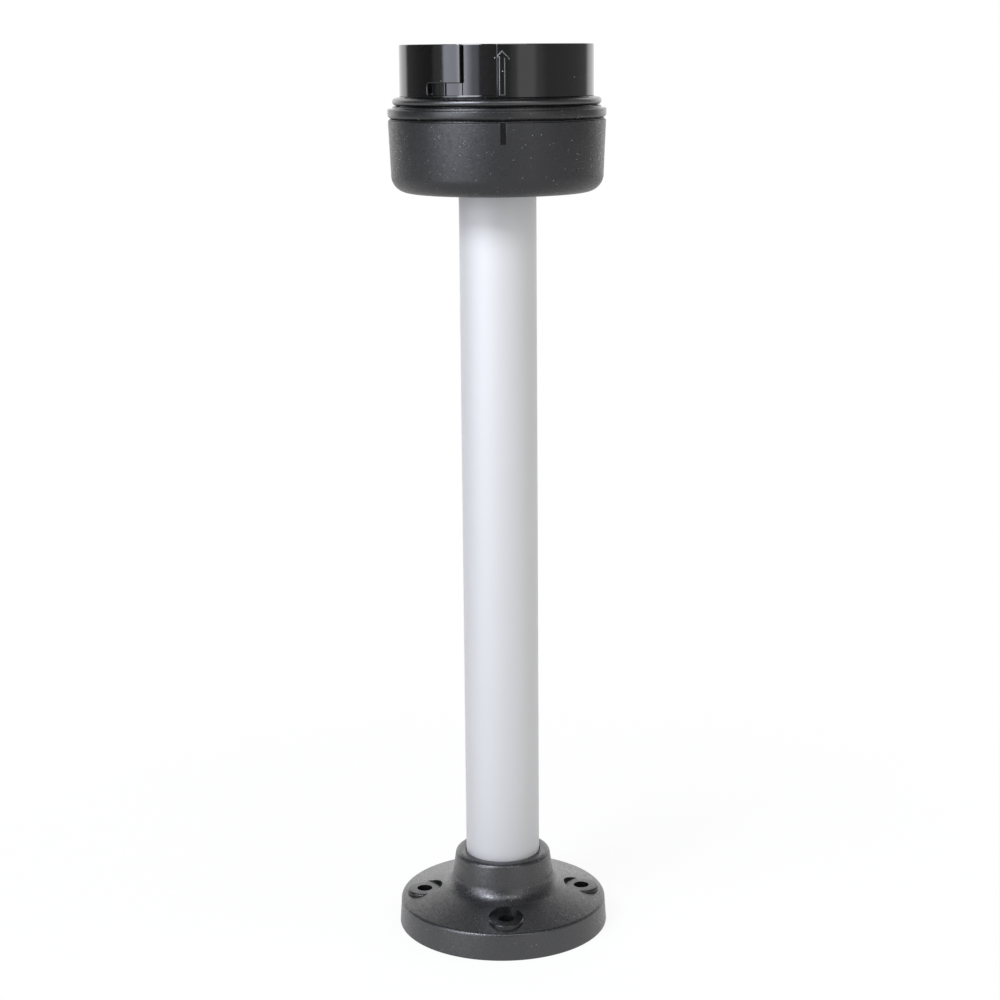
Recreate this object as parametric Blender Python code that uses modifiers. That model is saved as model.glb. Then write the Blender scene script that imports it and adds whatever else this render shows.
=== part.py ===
"""Pole base of a modular signal tower, modelled piece by piece.

A round foot carries an aluminium pole. A cup on the pole carries a bayonet neck
with the screw terminals inside. Metres, +Z up the pole, origin under the foot's centre.
The front of the head, with its arrow and line, faces -Y.
"""
import math

import bmesh
import bpy
from mathutils import Matrix, Vector

MM = 0.001

# Clearances between separate pieces
SEAT_GAP = 0.25 * MM
SLIDE_GAP = 0.2 * MM
THREAD_GAP = 0.25 * MM
FUSE_DEPTH = 0.6 * MM

# Facets round a full turn
ROUND_STEPS = 48
INNER_STEPS = 36
SMALL_STEPS = 12
BOSS_STEPS = 20

# Turns the facets a little, so that their edges keep off the planes where the tools have theirs
FACET_TURN = math.radians(1.3)
HOLLOW_TURN = FACET_TURN + math.radians(3.3)

# Pole
TUBE_DIAMETER = 25.0 * MM
TUBE_WALL = 2.0 * MM
TUBE_LENGTH = 250.0 * MM
TUBE_CHAMFER = 0.4 * MM

# Foot
FOOT_DIAMETER = 71.4 * MM
FOOT_HEIGHT = 25.6 * MM
FOOT_SOCKET_DEPTH = 13.4 * MM
SKIRT_HEIGHT = 9.2 * MM
SKIRT_DRAFT = 0.7 * MM
SKIRT_EDGE = 1.1 * MM
CONE_RISE = 3.4 * MM
HUB_WALL = 3.5 * MM
HUB_DRAFT = 0.9 * MM
HUB_EDGE = 1.6 * MM
HUB_FILLET = 5.6 * MM
FOOT_WALL = 2.6 * MM
FOOT_RIB = 2.0 * MM
FOOT_RIB_COUNT = 4
FOOT_RELIEF = 0.2 * MM

# Foot fixing holes
BOLT_EDGE = 8.6 * MM
BOLT_COUNT = 4
BOLT_HOLE = 5.2 * MM
BOLT_SEAT = 11.9 * MM
BOLT_SEAT_RISE = 0.08 * MM
BOLT_SEAT_RELIEF = 0.15 * MM

# Set screws that hold the pole
SET_SCREW_DIAMETER = 4.0 * MM
FOOT_SCREW_DROP = 5.0 * MM
CUP_SCREW_LENGTH = 8.0 * MM
CUP_SCREW_BOSS = 8.4 * MM
SET_SCREW_SOCKET = 2.0 * MM
SET_SCREW_SOCKET_DEPTH = 1.6 * MM

# Cup on the pole
CUP_DIAMETER = 69.6 * MM
CUP_HEIGHT = 22.8 * MM
CUP_DRAFT = 0.7 * MM
CUP_FILLET = 5.6 * MM
CUP_WALL = 2.4 * MM
CUP_SOCKET_DEPTH = 12.5 * MM
CUP_SOCKET_WALL = 3.4 * MM
CUP_STOP = 2.4 * MM
CUP_POST = 7.0 * MM
MARK_WIDTH = 1.7 * MM
MARK_LENGTH = 7.6 * MM
MARK_DEPTH = 0.5 * MM
MARK_TURN = math.radians(1.14)

# Flat seal between cup and flange
SEAL_INSET = 1.0 * MM
SEAL_WIDTH = 1.2 * MM
SEAL_DEPTH = 0.9 * MM
CUP_TO_FLANGE = 0.55 * MM

# Flange and bayonet neck, stepped in from the cup's edge
FLANGE_OVERHANG = 0.1 * MM
FLANGE_HEIGHT = 2.95 * MM
FLANGE_CHAMFER = 0.8 * MM
LIP_STEP = 1.55 * MM
LIP_HEIGHT = 0.8 * MM
NECK_STEP = 2.15 * MM
NECK_HEIGHT = 16.2 * MM
NECK_WALL = 2.7 * MM
NECK_EDGE = 0.4 * MM
NECK_FLOOR = 2.5 * MM
SPIGOT_DEPTH = 3.4 * MM
SPIGOT_WALL = 2.0 * MM
RING_GROOVE_HEIGHT = 3.0 * MM
RING_CORD = 2.4 * MM
RING_SQUEEZE = 0.45 * MM

# Bayonet slots, angles from the arrow
SLOT_COUNT = 2
SLOT_DEPTH = 1.7 * MM
SLOT_LEG_STEP = 0.4 * MM
SLOT_ENTRY_RISE = 0.1 * MM
SLOT_BACK_WALL = 2.0 * MM
SLOT_SIDE_WALL = 2.0 * MM
SLOT_RIGHT = math.radians(-3.0)
SLOT_ENTRY = math.radians(20.74)
SLOT_REACH = math.radians(43.34)
SLOT_LEDGE = 0.6 * MM
SLOT_LEG_HEIGHT = 3.9 * MM
SLOT_CORNER = 1.0 * MM
SLOT_BACK_DROP = 0.15 * MM
DETENT_START = math.radians(7.6)
DETENT_SPAN = math.radians(4.5)
DETENT_HEIGHT = 0.5 * MM

# Raised arrow beside the front slot
ARROW_TIP_BELOW_RIM = 2.0 * MM
ARROW_HEAD_LENGTH = 2.3 * MM
ARROW_NOTCH = 1.95 * MM
ARROW_BARB = 0.6 * MM
ARROW_HEAD_HALF = 2.3 * MM
ARROW_SHAFT_WIDTH = 1.9 * MM
ARROW_FOOT_ABOVE_NECK = 0.8 * MM
ARROW_HEIGHT = 0.4 * MM
ARROW_CLIP = 0.15 * MM

# Cable grommet in the neck floor
GROMMET_HOLE = 15.2 * MM
GROMMET_SEAT = 19.0 * MM
GROMMET_FLANGE = 1.6 * MM
GROMMET_FLANGE_HEIGHT = 1.0 * MM

# Terminals inside the neck
TERMINAL_COUNT = 6
TERMINAL_INSET = 6.5 * MM
BASE_GAP = 2.7 * MM
BASE_FLOOR = 1.6 * MM
BASE_WALL = 1.6 * MM
BASE_HOLE = 22.6 * MM
BARRIER = 1.2 * MM
COVER_HEIGHT = 2.7 * MM
COVER_HOLE = 21.0 * MM
CAGE_WIDTH = 4.2 * MM
CAGE_DEPTH = 4.6 * MM
CAGE_WALL = 0.5 * MM
CAGE_BOTTOM = 1.2 * MM
CAGE_TOP = 1.6 * MM
CAGE_TRAVEL = 2.3 * MM
WIRE_SPACE = 2.6 * MM
CONTACT_THICKNESS = 0.9 * MM
CONTACT_WIDTH = 2.6 * MM
CONTACT_INNER_REACH = 4.1 * MM
BLADE_HEIGHT = 4.6 * MM
TERMINAL_SCREW_DIAMETER = 2.8 * MM
TERMINAL_SCREW_HEAD = 4.4 * MM
TERMINAL_HEAD_HEIGHT = 1.6 * MM
TERMINAL_DRIVE_HOLE = 3.4 * MM
TERMINAL_SLOT_WIDTH = 0.7 * MM
TERMINAL_SLOT_DEPTH = 0.7 * MM

# Long screws that hold cover, base and neck down on the cup
HEAD_SCREW_COUNT = 3
HEAD_SCREW_INSET = 3.8 * MM
HEAD_SCREW_DIAMETER = 2.8 * MM
HEAD_SCREW_HEAD = 5.4 * MM
HEAD_SCREW_HEAD_HEIGHT = 2.0 * MM
HEAD_SCREW_GRIP = 11.0 * MM
HEAD_SCREW_FIRST = math.radians(30.0)

# Radii worked out from the diameters
TUBE_R = TUBE_DIAMETER / 2
BORE_R = TUBE_R - TUBE_WALL
SOCKET_R = TUBE_R + SLIDE_GAP
FOOT_R = FOOT_DIAMETER / 2
HUB_R = SOCKET_R + HUB_WALL
CUP_R = CUP_DIAMETER / 2
CUP_INNER_R = CUP_R - CUP_WALL
SEAL_R = CUP_R - SEAL_INSET
FLANGE_R = CUP_R + FLANGE_OVERHANG
LIP_R = FLANGE_R - LIP_STEP
NECK_R = LIP_R - NECK_STEP
NECK_INNER_R = NECK_R - NECK_WALL
RING_SEAT_R = NECK_R - RING_SQUEEZE
SLOT_R = NECK_R - SLOT_DEPTH
SLOT_BACK_R = SLOT_R - SLOT_BACK_WALL
BOLT_R = FOOT_R - BOLT_EDGE
BASE_R = SLOT_BACK_R - BASE_GAP
TERMINAL_R = BASE_R - TERMINAL_INSET
HEAD_SCREW_R = BASE_R - HEAD_SCREW_INSET
SCREW_HOLE_R = HEAD_SCREW_DIAMETER / 2 + THREAD_GAP
SET_SCREW_R = SET_SCREW_DIAMETER / 2 - THREAD_GAP

# Heights, stacked from the floor up
SOCKET_FLOOR_Z = FOOT_HEIGHT - FOOT_SOCKET_DEPTH
TUBE_BOTTOM_Z = SOCKET_FLOOR_Z + SEAT_GAP
TUBE_TOP_Z = TUBE_BOTTOM_Z + TUBE_LENGTH
CUP_BOTTOM_Z = TUBE_TOP_Z - CUP_SOCKET_DEPTH
CUP_FLOOR_Z = CUP_BOTTOM_Z + CUP_WALL
CUP_STOP_Z = TUBE_TOP_Z + SEAT_GAP
CUP_TOP_Z = CUP_BOTTOM_Z + CUP_HEIGHT
FLANGE_Z = CUP_TOP_Z + CUP_TO_FLANGE
FLANGE_TOP_Z = FLANGE_Z + FLANGE_HEIGHT
LIP_TOP_Z = FLANGE_TOP_Z + LIP_HEIGHT
NECK_Z = LIP_TOP_Z + RING_GROOVE_HEIGHT
RIM_Z = NECK_Z + NECK_HEIGHT
NECK_FLOOR_Z = FLANGE_Z + NECK_FLOOR
BASE_Z = NECK_FLOOR_Z + SEAT_GAP
CAGE_Z = BASE_Z + BASE_FLOOR + SEAT_GAP
BAR_Z = CAGE_Z + CAGE_BOTTOM + WIRE_SPACE
BAR_TOP_Z = BAR_Z + CONTACT_THICKNESS
CAGE_ROOF_Z = BAR_TOP_Z + SEAT_GAP
CAGE_TOP_Z = CAGE_ROOF_Z + CAGE_TOP
SCREW_HEAD_Z = CAGE_TOP_Z + CAGE_TRAVEL + SEAT_GAP
BASE_TOP_Z = SCREW_HEAD_Z
COVER_Z = BASE_TOP_Z + SEAT_GAP
COVER_TOP_Z = COVER_Z + COVER_HEIGHT
HEAD_POCKET_Z = SCREW_HEAD_Z + TERMINAL_HEAD_HEIGHT + SEAT_GAP

# Radial places of the terminal's pieces
BAY_HALF = CAGE_WIDTH / 2 + SEAT_GAP
CAGE_OUTER_R = TERMINAL_R + CAGE_DEPTH / 2
BLADE_R = CAGE_OUTER_R + 2 * SEAT_GAP
BLADE_OUTER_R = BLADE_R + CONTACT_THICKNESS
BASE_INNER_R = BASE_HOLE / 2


def collection(name):
    """A new collection linked under the scene."""
    group = bpy.data.collections.new(name)
    bpy.context.scene.collection.children.link(group)
    return group


def material(name, colour, roughness, metallic=0.0):
    """A plain Principled material."""
    result = bpy.data.materials.new(name)
    result.use_nodes = True
    shader = result.node_tree.nodes["Principled BSDF"]
    shader.inputs["Base Color"].default_value = (*colour, 1.0)
    shader.inputs["Roughness"].default_value = roughness
    shader.inputs["Metallic"].default_value = metallic
    return result


def add_object(name, mesh, group, finish=None, parent=None):
    """Link a mesh as an object, with its own material and parent."""
    obj = bpy.data.objects.new(name, mesh)
    group.objects.link(obj)
    if finish is not None:
        obj.data.materials.append(finish)
    if parent is not None:
        obj.parent = parent
    return obj


def as_tool(obj):
    """Mark an object as a cutter or a filler that is not a piece itself."""
    obj.hide_render = True
    obj.display_type = "WIRE"
    return obj


def mesh_from(bm, name):
    """Turn a bmesh into a mesh with outward, smooth-shaded faces."""
    bmesh.ops.recalc_face_normals(bm, faces=bm.faces)
    mesh = bpy.data.meshes.new(name)
    bm.to_mesh(mesh)
    bm.free()
    mesh.shade_smooth()
    mesh.set_sharp_from_angle(angle=math.radians(35))
    return mesh


def turned(name, profile, group, finish=None, parent=None, steps=ROUND_STEPS):
    """A closed profile of (radius, z) points turned about Z, outer side first, top to bottom."""
    mesh = bpy.data.meshes.new(name)
    points = [(radius, 0.0, z) for radius, z in profile]
    count = len(points)
    edges = [(i, (i + 1) % count) for i in range(count)]
    mesh.from_pydata(points, edges, [])
    obj = add_object(name, mesh, group, finish, parent)
    obj.rotation_euler.z = FACET_TURN
    screw = obj.modifiers.new("Turn", "SCREW")
    screw.axis = "Z"
    screw.steps = steps
    screw.render_steps = steps
    screw.use_merge_vertices = True
    screw.merge_threshold = 0.00001
    screw.use_smooth_shade = True
    return obj


def arc(centre, radius, start, end, steps):
    """Points on an arc in the (radius, z) plane, angles in degrees."""
    points = []
    for i in range(steps + 1):
        angle = math.radians(start + (end - start) * i / steps)
        points.append((centre[0] + radius * math.cos(angle), centre[1] + radius * math.sin(angle)))
    return points


def sector(name, inner, outer, low, high, start, end, group, corner=0.0):
    """A block between two radii, two heights and two angles, angles measured from -Y towards +X."""
    bm = bmesh.new()
    first = Matrix.Rotation(start, 3, "Z")
    corners = [(inner, low), (outer, low), (outer, high), (inner, high)]
    verts = [bm.verts.new(first @ Vector((0.0, -radius, z))) for radius, z in corners]
    face = bm.faces.new(verts)
    bmesh.ops.spin(bm, geom=[face, *verts, *face.edges], cent=(0, 0, 0), axis=(0, 0, 1),
                   angle=end - start, steps=max(2, round(math.degrees(end - start) / 5)))
    if corner > 0.0:
        radial = [edge for edge in bm.edges if is_end_edge(edge, start)]
        bmesh.ops.bevel(bm, geom=radial, offset=corner, segments=3, profile=0.5, affect="EDGES")
    return as_tool(add_object(name, mesh_from(bm, name), group))


def is_end_edge(edge, angle):
    """True for an edge that runs radially on the block's end at this angle."""
    first, second = edge.verts
    if abs(first.co.z - second.co.z) > MM / 100:
        return False
    return all(abs(math.atan2(v.co.x, -v.co.y) - angle) < 0.001 for v in edge.verts)


def boxes(name, places, group):
    """Separate boxes in one tool: each place is (low corner, high corner, turn about Z)."""
    bm = bmesh.new()
    for low, high, turn in places:
        middle = (Vector(low) + Vector(high)) / 2
        size = Vector(high) - Vector(low)
        matrix = Matrix.Rotation(turn, 4, "Z") @ Matrix.Translation(middle) @ Matrix.Diagonal((*size, 1.0))
        bmesh.ops.create_cube(bm, size=1.0, matrix=matrix)
    return as_tool(add_object(name, mesh_from(bm, name), group))


def rods(name, radius, low, high, places, group, steps=SMALL_STEPS):
    """Separate upright cylinders in one tool, at these (x, y) places."""
    bm = bmesh.new()
    for x, y in places:
        matrix = Matrix.Translation((x, y, (low + high) / 2)) @ Matrix.Rotation(FACET_TURN, 4, "Z")
        bmesh.ops.create_cone(bm, cap_ends=True, segments=steps, radius1=radius, radius2=radius,
                              depth=high - low, matrix=matrix)
    return as_tool(add_object(name, mesh_from(bm, name), group))


def ribs(name, outline, thickness, turns, group):
    """Separate upright plates in one tool: an outline of (radius, z) points at each of these turns."""
    bm = bmesh.new()
    for turn in turns:
        matrix = Matrix.Rotation(turn, 3, "Z")
        face = bm.faces.new([bm.verts.new(matrix @ Vector((r, -thickness / 2, z))) for r, z in outline])
        swept = bmesh.ops.extrude_face_region(bm, geom=[face])
        moved = [item for item in swept["geom"] if isinstance(item, bmesh.types.BMVert)]
        bmesh.ops.translate(bm, verts=moved, vec=matrix @ Vector((0, thickness, 0)))
    return as_tool(add_object(name, mesh_from(bm, name), group))


def cross_rod(name, radius, start, end, z, group, steps=SMALL_STEPS):
    """A cylinder tool that lies along +Y between two distances from the pole axis."""
    bm = bmesh.new()
    matrix = Matrix.Translation((0, (start + end) / 2, z)) @ Matrix.Rotation(math.pi / 2, 4, "X")
    bmesh.ops.create_cone(bm, cap_ends=True, segments=steps, radius1=radius, radius2=radius,
                          depth=end - start, matrix=matrix)
    return as_tool(add_object(name, mesh_from(bm, name), group))


def combine(target, tool, operation):
    """Cut the tool out of the target, or fuse it on, with the exact solver."""
    step = target.modifiers.new(tool.name, "BOOLEAN")
    step.operation = operation
    step.solver = "EXACT"
    step.object = tool


def cut(target, tool):
    combine(target, tool, "DIFFERENCE")


def fuse(target, tool):
    combine(target, tool, "UNION")


def ring_places(radius, count, first=0.0):
    """Even (x, y) places round the axis."""
    angles = [first + 2 * math.pi * i / count for i in range(count)]
    return [(radius * math.cos(angle), radius * math.sin(angle)) for angle in angles]


def build_foot(parts, tools, finish):
    """Moulded foot: drafted skirt, shallow cone, filleted hub, four flat bolt seats, ribbed hollow below."""
    skirt_top_r = FOOT_R - SKIRT_DRAFT
    cone_r = skirt_top_r - SKIRT_EDGE
    hub_root_r = HUB_R + HUB_DRAFT
    fillet_r = hub_root_r + HUB_FILLET
    slope = math.atan2(CONE_RISE, cone_r - fillet_r)
    fillet_centre = (fillet_r, SKIRT_HEIGHT + CONE_RISE + HUB_FILLET)
    fillet = arc(fillet_centre, HUB_FILLET, 180, 270 - math.degrees(slope), 4)
    profile = [
        (SOCKET_R, FOOT_HEIGHT),
        (HUB_R - HUB_EDGE, FOOT_HEIGHT),
        *arc((HUB_R - HUB_EDGE, FOOT_HEIGHT - HUB_EDGE), HUB_EDGE, 45, 0, 2),
        *fillet,
        (cone_r, SKIRT_HEIGHT),
        *arc((cone_r, SKIRT_HEIGHT - SKIRT_EDGE), SKIRT_EDGE, 45, 0, 2),
        (FOOT_R, 0.0),
        (BORE_R, 0.0),
        (BORE_R, SOCKET_FLOOR_Z),
        (SOCKET_R, SOCKET_FLOOR_Z),
    ]
    foot = turned("foot", profile, parts, finish)
    places = ring_places(BOLT_R, BOLT_COUNT, math.pi / 2)
    seat_r = BOLT_SEAT / 2
    relief_r = seat_r + BOLT_SEAT_RELIEF
    cone_share = (cone_r - BOLT_R) / (cone_r - fillet_r)
    seat_z = SKIRT_HEIGHT + CONE_RISE * cone_share + BOLT_SEAT_RISE
    boss_top = seat_z + FUSE_DEPTH
    add_hollow(foot, fillet_r, tools)
    fuse(foot, rods("foot_boss_tool", seat_r, FOOT_RELIEF, boss_top, places, tools, BOSS_STEPS))
    cut(foot, rods("foot_seat_tool", relief_r, seat_z, FOOT_HEIGHT, places, tools, BOSS_STEPS))
    cut(foot, rods("foot_bolt_tool", BOLT_HOLE / 2, -FOOT_WALL, FOOT_HEIGHT, places, tools))
    screw_z = FOOT_HEIGHT - FOOT_SCREW_DROP
    hole_r = SET_SCREW_R + THREAD_GAP
    cut(foot, cross_rod("foot_screw_tool", hole_r, TUBE_R - TUBE_WALL, FOOT_R, screw_z, tools))
    return foot


def add_hollow(foot, fillet_r, tools):
    """Cut the ring-shaped hollow under the foot, and stand ribs in it that end just off the floor."""
    outer = FOOT_R - SKIRT_DRAFT - FOOT_WALL
    inner = BORE_R + FOOT_WALL
    outer_top = SKIRT_HEIGHT - FOOT_WALL
    inner_top = min(SKIRT_HEIGHT + CONE_RISE, SOCKET_FLOOR_Z) - FOOT_WALL
    profile = [
        (fillet_r, inner_top),
        (outer, outer_top),
        (outer, -FOOT_WALL),
        (inner, -FOOT_WALL),
        (inner, inner_top),
    ]
    hollow = as_tool(turned("foot_hollow_tool", profile, tools))
    hollow.rotation_euler.z = HOLLOW_TURN
    cut(foot, hollow)
    rib = [
        (inner - FUSE_DEPTH, FOOT_RELIEF),
        (outer + FUSE_DEPTH, FOOT_RELIEF),
        (outer + FUSE_DEPTH, outer_top + FUSE_DEPTH),
        (fillet_r, inner_top + FUSE_DEPTH),
        (inner - FUSE_DEPTH, inner_top + FUSE_DEPTH),
    ]
    turns = [2 * math.pi * (i + 0.5) / FOOT_RIB_COUNT for i in range(FOOT_RIB_COUNT)]
    fuse(foot, ribs("foot_rib_tool", rib, FOOT_RIB, turns, tools))


def build_tube(parts, finish):
    """Drawn aluminium pole, open from end to end for the cable."""
    profile = [
        (BORE_R, TUBE_TOP_Z),
        (TUBE_R - TUBE_CHAMFER, TUBE_TOP_Z),
        (TUBE_R, TUBE_TOP_Z - TUBE_CHAMFER),
        (TUBE_R, TUBE_BOTTOM_Z + TUBE_CHAMFER),
        (TUBE_R - TUBE_CHAMFER, TUBE_BOTTOM_Z),
        (BORE_R, TUBE_BOTTOM_Z),
    ]
    return turned("tube", profile, parts, finish)


def build_set_screw(name, length, z, parts, tools, finish, parent=None):
    """Socket set screw lying along +Y, its tip just off the pole."""
    start = TUBE_R + SEAT_GAP
    bm = bmesh.new()
    matrix = Matrix.Rotation(-math.pi / 2, 4, "X") @ Matrix.Translation((0, 0, length / 2))
    bmesh.ops.create_cone(bm, cap_ends=True, segments=SMALL_STEPS, radius1=SET_SCREW_R,
                          radius2=SET_SCREW_R, depth=length, matrix=matrix)
    obj = add_object(name, mesh_from(bm, name), parts, finish, parent)
    obj.location = (0, start, z)
    socket_start = start + length - SET_SCREW_SOCKET_DEPTH
    socket_r = SET_SCREW_SOCKET / math.sqrt(3)
    cut(obj, cross_rod(name + "_socket_tool", socket_r, socket_start, FOOT_R, z, tools, 6))
    return obj


def build_cup(parts, tools, finish, head):
    """Cup on the pole: drafted wall, round bottom edge, pole socket, three posts, alignment line."""
    bottom_r = CUP_R - CUP_DRAFT
    socket_outer = SOCKET_R + CUP_SOCKET_WALL
    socket_top = CUP_STOP_Z + CUP_STOP
    inner_fillet = max(CUP_FILLET - CUP_WALL, MM)
    inner_low_r = bottom_r - CUP_WALL
    rebate_r = SEAL_R + SEAT_GAP
    rebate_z = CUP_TOP_Z - SEAL_DEPTH
    profile = [
        (rebate_r, CUP_TOP_Z),
        (CUP_R, CUP_TOP_Z),
        *arc((bottom_r - CUP_FILLET, CUP_BOTTOM_Z + CUP_FILLET), CUP_FILLET, 0, -90, 6),
        (SOCKET_R, CUP_BOTTOM_Z),
        (SOCKET_R, CUP_STOP_Z),
        (BORE_R, CUP_STOP_Z),
        (BORE_R, socket_top),
        (socket_outer, socket_top),
        (socket_outer, CUP_FLOOR_Z),
        *arc((inner_low_r - inner_fillet, CUP_FLOOR_Z + inner_fillet), inner_fillet, -90, 0, 3),
        (CUP_INNER_R, rebate_z),
        (rebate_r, rebate_z),
    ]
    cup = turned("cup", profile, parts, finish, head)
    places = ring_places(HEAD_SCREW_R, HEAD_SCREW_COUNT, HEAD_SCREW_FIRST)
    post_low = CUP_FLOOR_Z - FUSE_DEPTH
    post_top = FLANGE_Z - SEAT_GAP
    fuse(cup, rods("cup_post_tool", CUP_POST / 2, post_low, post_top, places, tools, BOSS_STEPS))
    pilot_low = COVER_TOP_Z - head_screw_length() - SEAT_GAP
    screw_z = CUP_BOTTOM_Z + CUP_SOCKET_DEPTH / 2
    boss_end = CUP_R - CUP_DRAFT - FUSE_DEPTH
    boss_start = SOCKET_R + FUSE_DEPTH
    boss_r = CUP_SCREW_BOSS / 2
    fuse(cup, cross_rod("cup_screw_boss_tool", boss_r, boss_start, boss_end, screw_z, tools, BOSS_STEPS))
    cut(cup, rods("cup_pilot_tool", SCREW_HOLE_R, pilot_low, RIM_Z, places, tools))
    hole_r = SET_SCREW_R + THREAD_GAP
    cut(cup, cross_rod("cup_screw_tool", hole_r, BORE_R, CUP_R + CUP_WALL, screw_z, tools))
    mark_low = (-MARK_WIDTH / 2, -CUP_R - CUP_WALL, CUP_TOP_Z - MARK_LENGTH)
    mark_high = (MARK_WIDTH / 2, MARK_DEPTH - CUP_R, CUP_TOP_Z + CUP_WALL)
    cut(cup, boxes("cup_mark_tool", [(mark_low, mark_high, MARK_TURN)], tools))
    return cup


def build_seal(parts, finish, head):
    """Flat rubber ring in the cup's rebate, just under the flange."""
    low = CUP_TOP_Z - SEAL_DEPTH + SEAT_GAP
    high = FLANGE_Z - SEAT_GAP
    profile = [
        (SEAL_R - SEAL_WIDTH, high),
        (SEAL_R, high),
        (SEAL_R, low),
        (SEAL_R - SEAL_WIDTH, low),
    ]
    return turned("cup_seal", profile, parts, finish, head)


def build_neck(parts, tools, finish, head):
    """Flange and bayonet neck in one moulding: chamfered flange, lip, ring groove, slots and arrow."""
    spigot_r = CUP_INNER_R - SEAT_GAP
    spigot_z = FLANGE_Z - SPIGOT_DEPTH
    chamfer_r = FLANGE_R - FLANGE_CHAMFER
    profile = [
        (NECK_INNER_R, RIM_Z),
        (NECK_R - NECK_EDGE, RIM_Z),
        (NECK_R, RIM_Z - NECK_EDGE),
        (NECK_R, NECK_Z),
        (RING_SEAT_R, NECK_Z),
        (RING_SEAT_R, LIP_TOP_Z),
        (LIP_R, LIP_TOP_Z),
        (LIP_R, FLANGE_TOP_Z),
        (FLANGE_R, FLANGE_TOP_Z),
        (FLANGE_R, FLANGE_Z + FLANGE_CHAMFER),
        (chamfer_r, FLANGE_Z),
        (spigot_r, FLANGE_Z),
        (spigot_r, spigot_z),
        (spigot_r - SPIGOT_WALL, spigot_z),
        (spigot_r - SPIGOT_WALL, FLANGE_Z),
        (GROMMET_SEAT / 2, FLANGE_Z),
        (GROMMET_SEAT / 2, NECK_FLOOR_Z),
        (NECK_INNER_R, NECK_FLOOR_Z),
    ]
    neck = turned("bayonet_neck", profile, parts, finish, head)
    for i in range(SLOT_COUNT):
        add_slot(neck, f"slot_{i + 1}", MARK_TURN + 2 * math.pi * i / SLOT_COUNT, tools)
    fuse(neck, arrow_tool(tools))
    places = ring_places(HEAD_SCREW_R, HEAD_SCREW_COUNT, HEAD_SCREW_FIRST)
    cut(neck, rods("neck_hole_tool", SCREW_HOLE_R, spigot_z, RIM_Z, places, tools))
    return neck


def add_slot(neck, name, turn, tools):
    """One L-shaped bayonet slot with its back wall inside the neck and a detent rib."""
    right = turn + SLOT_RIGHT
    left = right - SLOT_REACH
    wall = SLOT_SIDE_WALL / NECK_INNER_R
    outside = NECK_R + SLOT_DEPTH
    leg_z = NECK_Z + SLOT_LEDGE
    leg_top = leg_z + SLOT_LEG_HEIGHT
    pocket = sector(name + "_pocket_tool", SLOT_BACK_R, NECK_INNER_R + FUSE_DEPTH, NECK_FLOOR_Z - FUSE_DEPTH,
                    RIM_Z - SLOT_BACK_DROP, left - wall, right + wall, tools)
    fuse(neck, pocket)
    entry = right - SLOT_ENTRY
    leg_r = SLOT_R + SLOT_LEG_STEP
    overlap = SLOT_CORNER / NECK_R
    cut(neck, sector(name + "_leg_tool", leg_r, outside, leg_z, leg_top, left, entry + overlap,
                     tools, SLOT_CORNER))
    cut(neck, sector(name + "_entry_tool", SLOT_R, outside, leg_z + SLOT_ENTRY_RISE, RIM_Z + SLOT_DEPTH,
                     entry, right, tools))
    rib = left + DETENT_START
    fuse(neck, sector(name + "_detent_tool", leg_r - FUSE_DEPTH, leg_r + DETENT_HEIGHT,
                      leg_z - FUSE_DEPTH / 2, leg_top + FUSE_DEPTH, rib, rib + DETENT_SPAN, tools))


def arrow_tool(tools):
    """Flat raised arrow on the front of the neck, pointing up, its left barb clipped at the slot."""
    tip = RIM_Z - ARROW_TIP_BELOW_RIM
    notch = tip - ARROW_NOTCH
    foot_z = NECK_Z + ARROW_FOOT_ABOVE_NECK
    half = ARROW_SHAFT_WIDTH / 2
    outline = [(half, notch), (half, foot_z), (-half, foot_z), (-half, notch)]
    drop = ARROW_HEAD_LENGTH / ARROW_HEAD_HALF
    under = (ARROW_HEAD_LENGTH + ARROW_BARB - ARROW_NOTCH) / (ARROW_HEAD_HALF - half)
    left_half = min(ARROW_HEAD_HALF, NECK_R * math.sin(-SLOT_RIGHT) - ARROW_CLIP)
    outline += [(-left_half, notch - under * (left_half - half)), (-left_half, tip - drop * left_half)]
    outline += [(0, tip), (ARROW_HEAD_HALF, tip - ARROW_HEAD_LENGTH)]
    outline += [(ARROW_HEAD_HALF, tip - ARROW_HEAD_LENGTH - ARROW_BARB)]
    bm = bmesh.new()
    back = -NECK_R + FUSE_DEPTH
    face = bm.faces.new([bm.verts.new((x, back, z)) for x, z in outline])
    swept = bmesh.ops.extrude_face_region(bm, geom=[face])
    moved = [item for item in swept["geom"] if isinstance(item, bmesh.types.BMVert)]
    bmesh.ops.translate(bm, verts=moved, vec=(0, -FUSE_DEPTH - ARROW_HEIGHT, 0))
    bm.transform(Matrix.Rotation(MARK_TURN, 4, "Z"))
    return as_tool(add_object("arrow_tool", mesh_from(bm, "arrow_tool"), tools))


def build_ring(parts, finish, head):
    """Round rubber ring in the groove under the neck."""
    cord_r = RING_CORD / 2
    centre_r = RING_SEAT_R + SLIDE_GAP + cord_r
    centre_z = (LIP_TOP_Z + NECK_Z) / 2
    section = arc((centre_r, centre_z), cord_r, 90, -270, 10)
    return turned("neck_o_ring", section[:-1], parts, finish, head)


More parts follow.
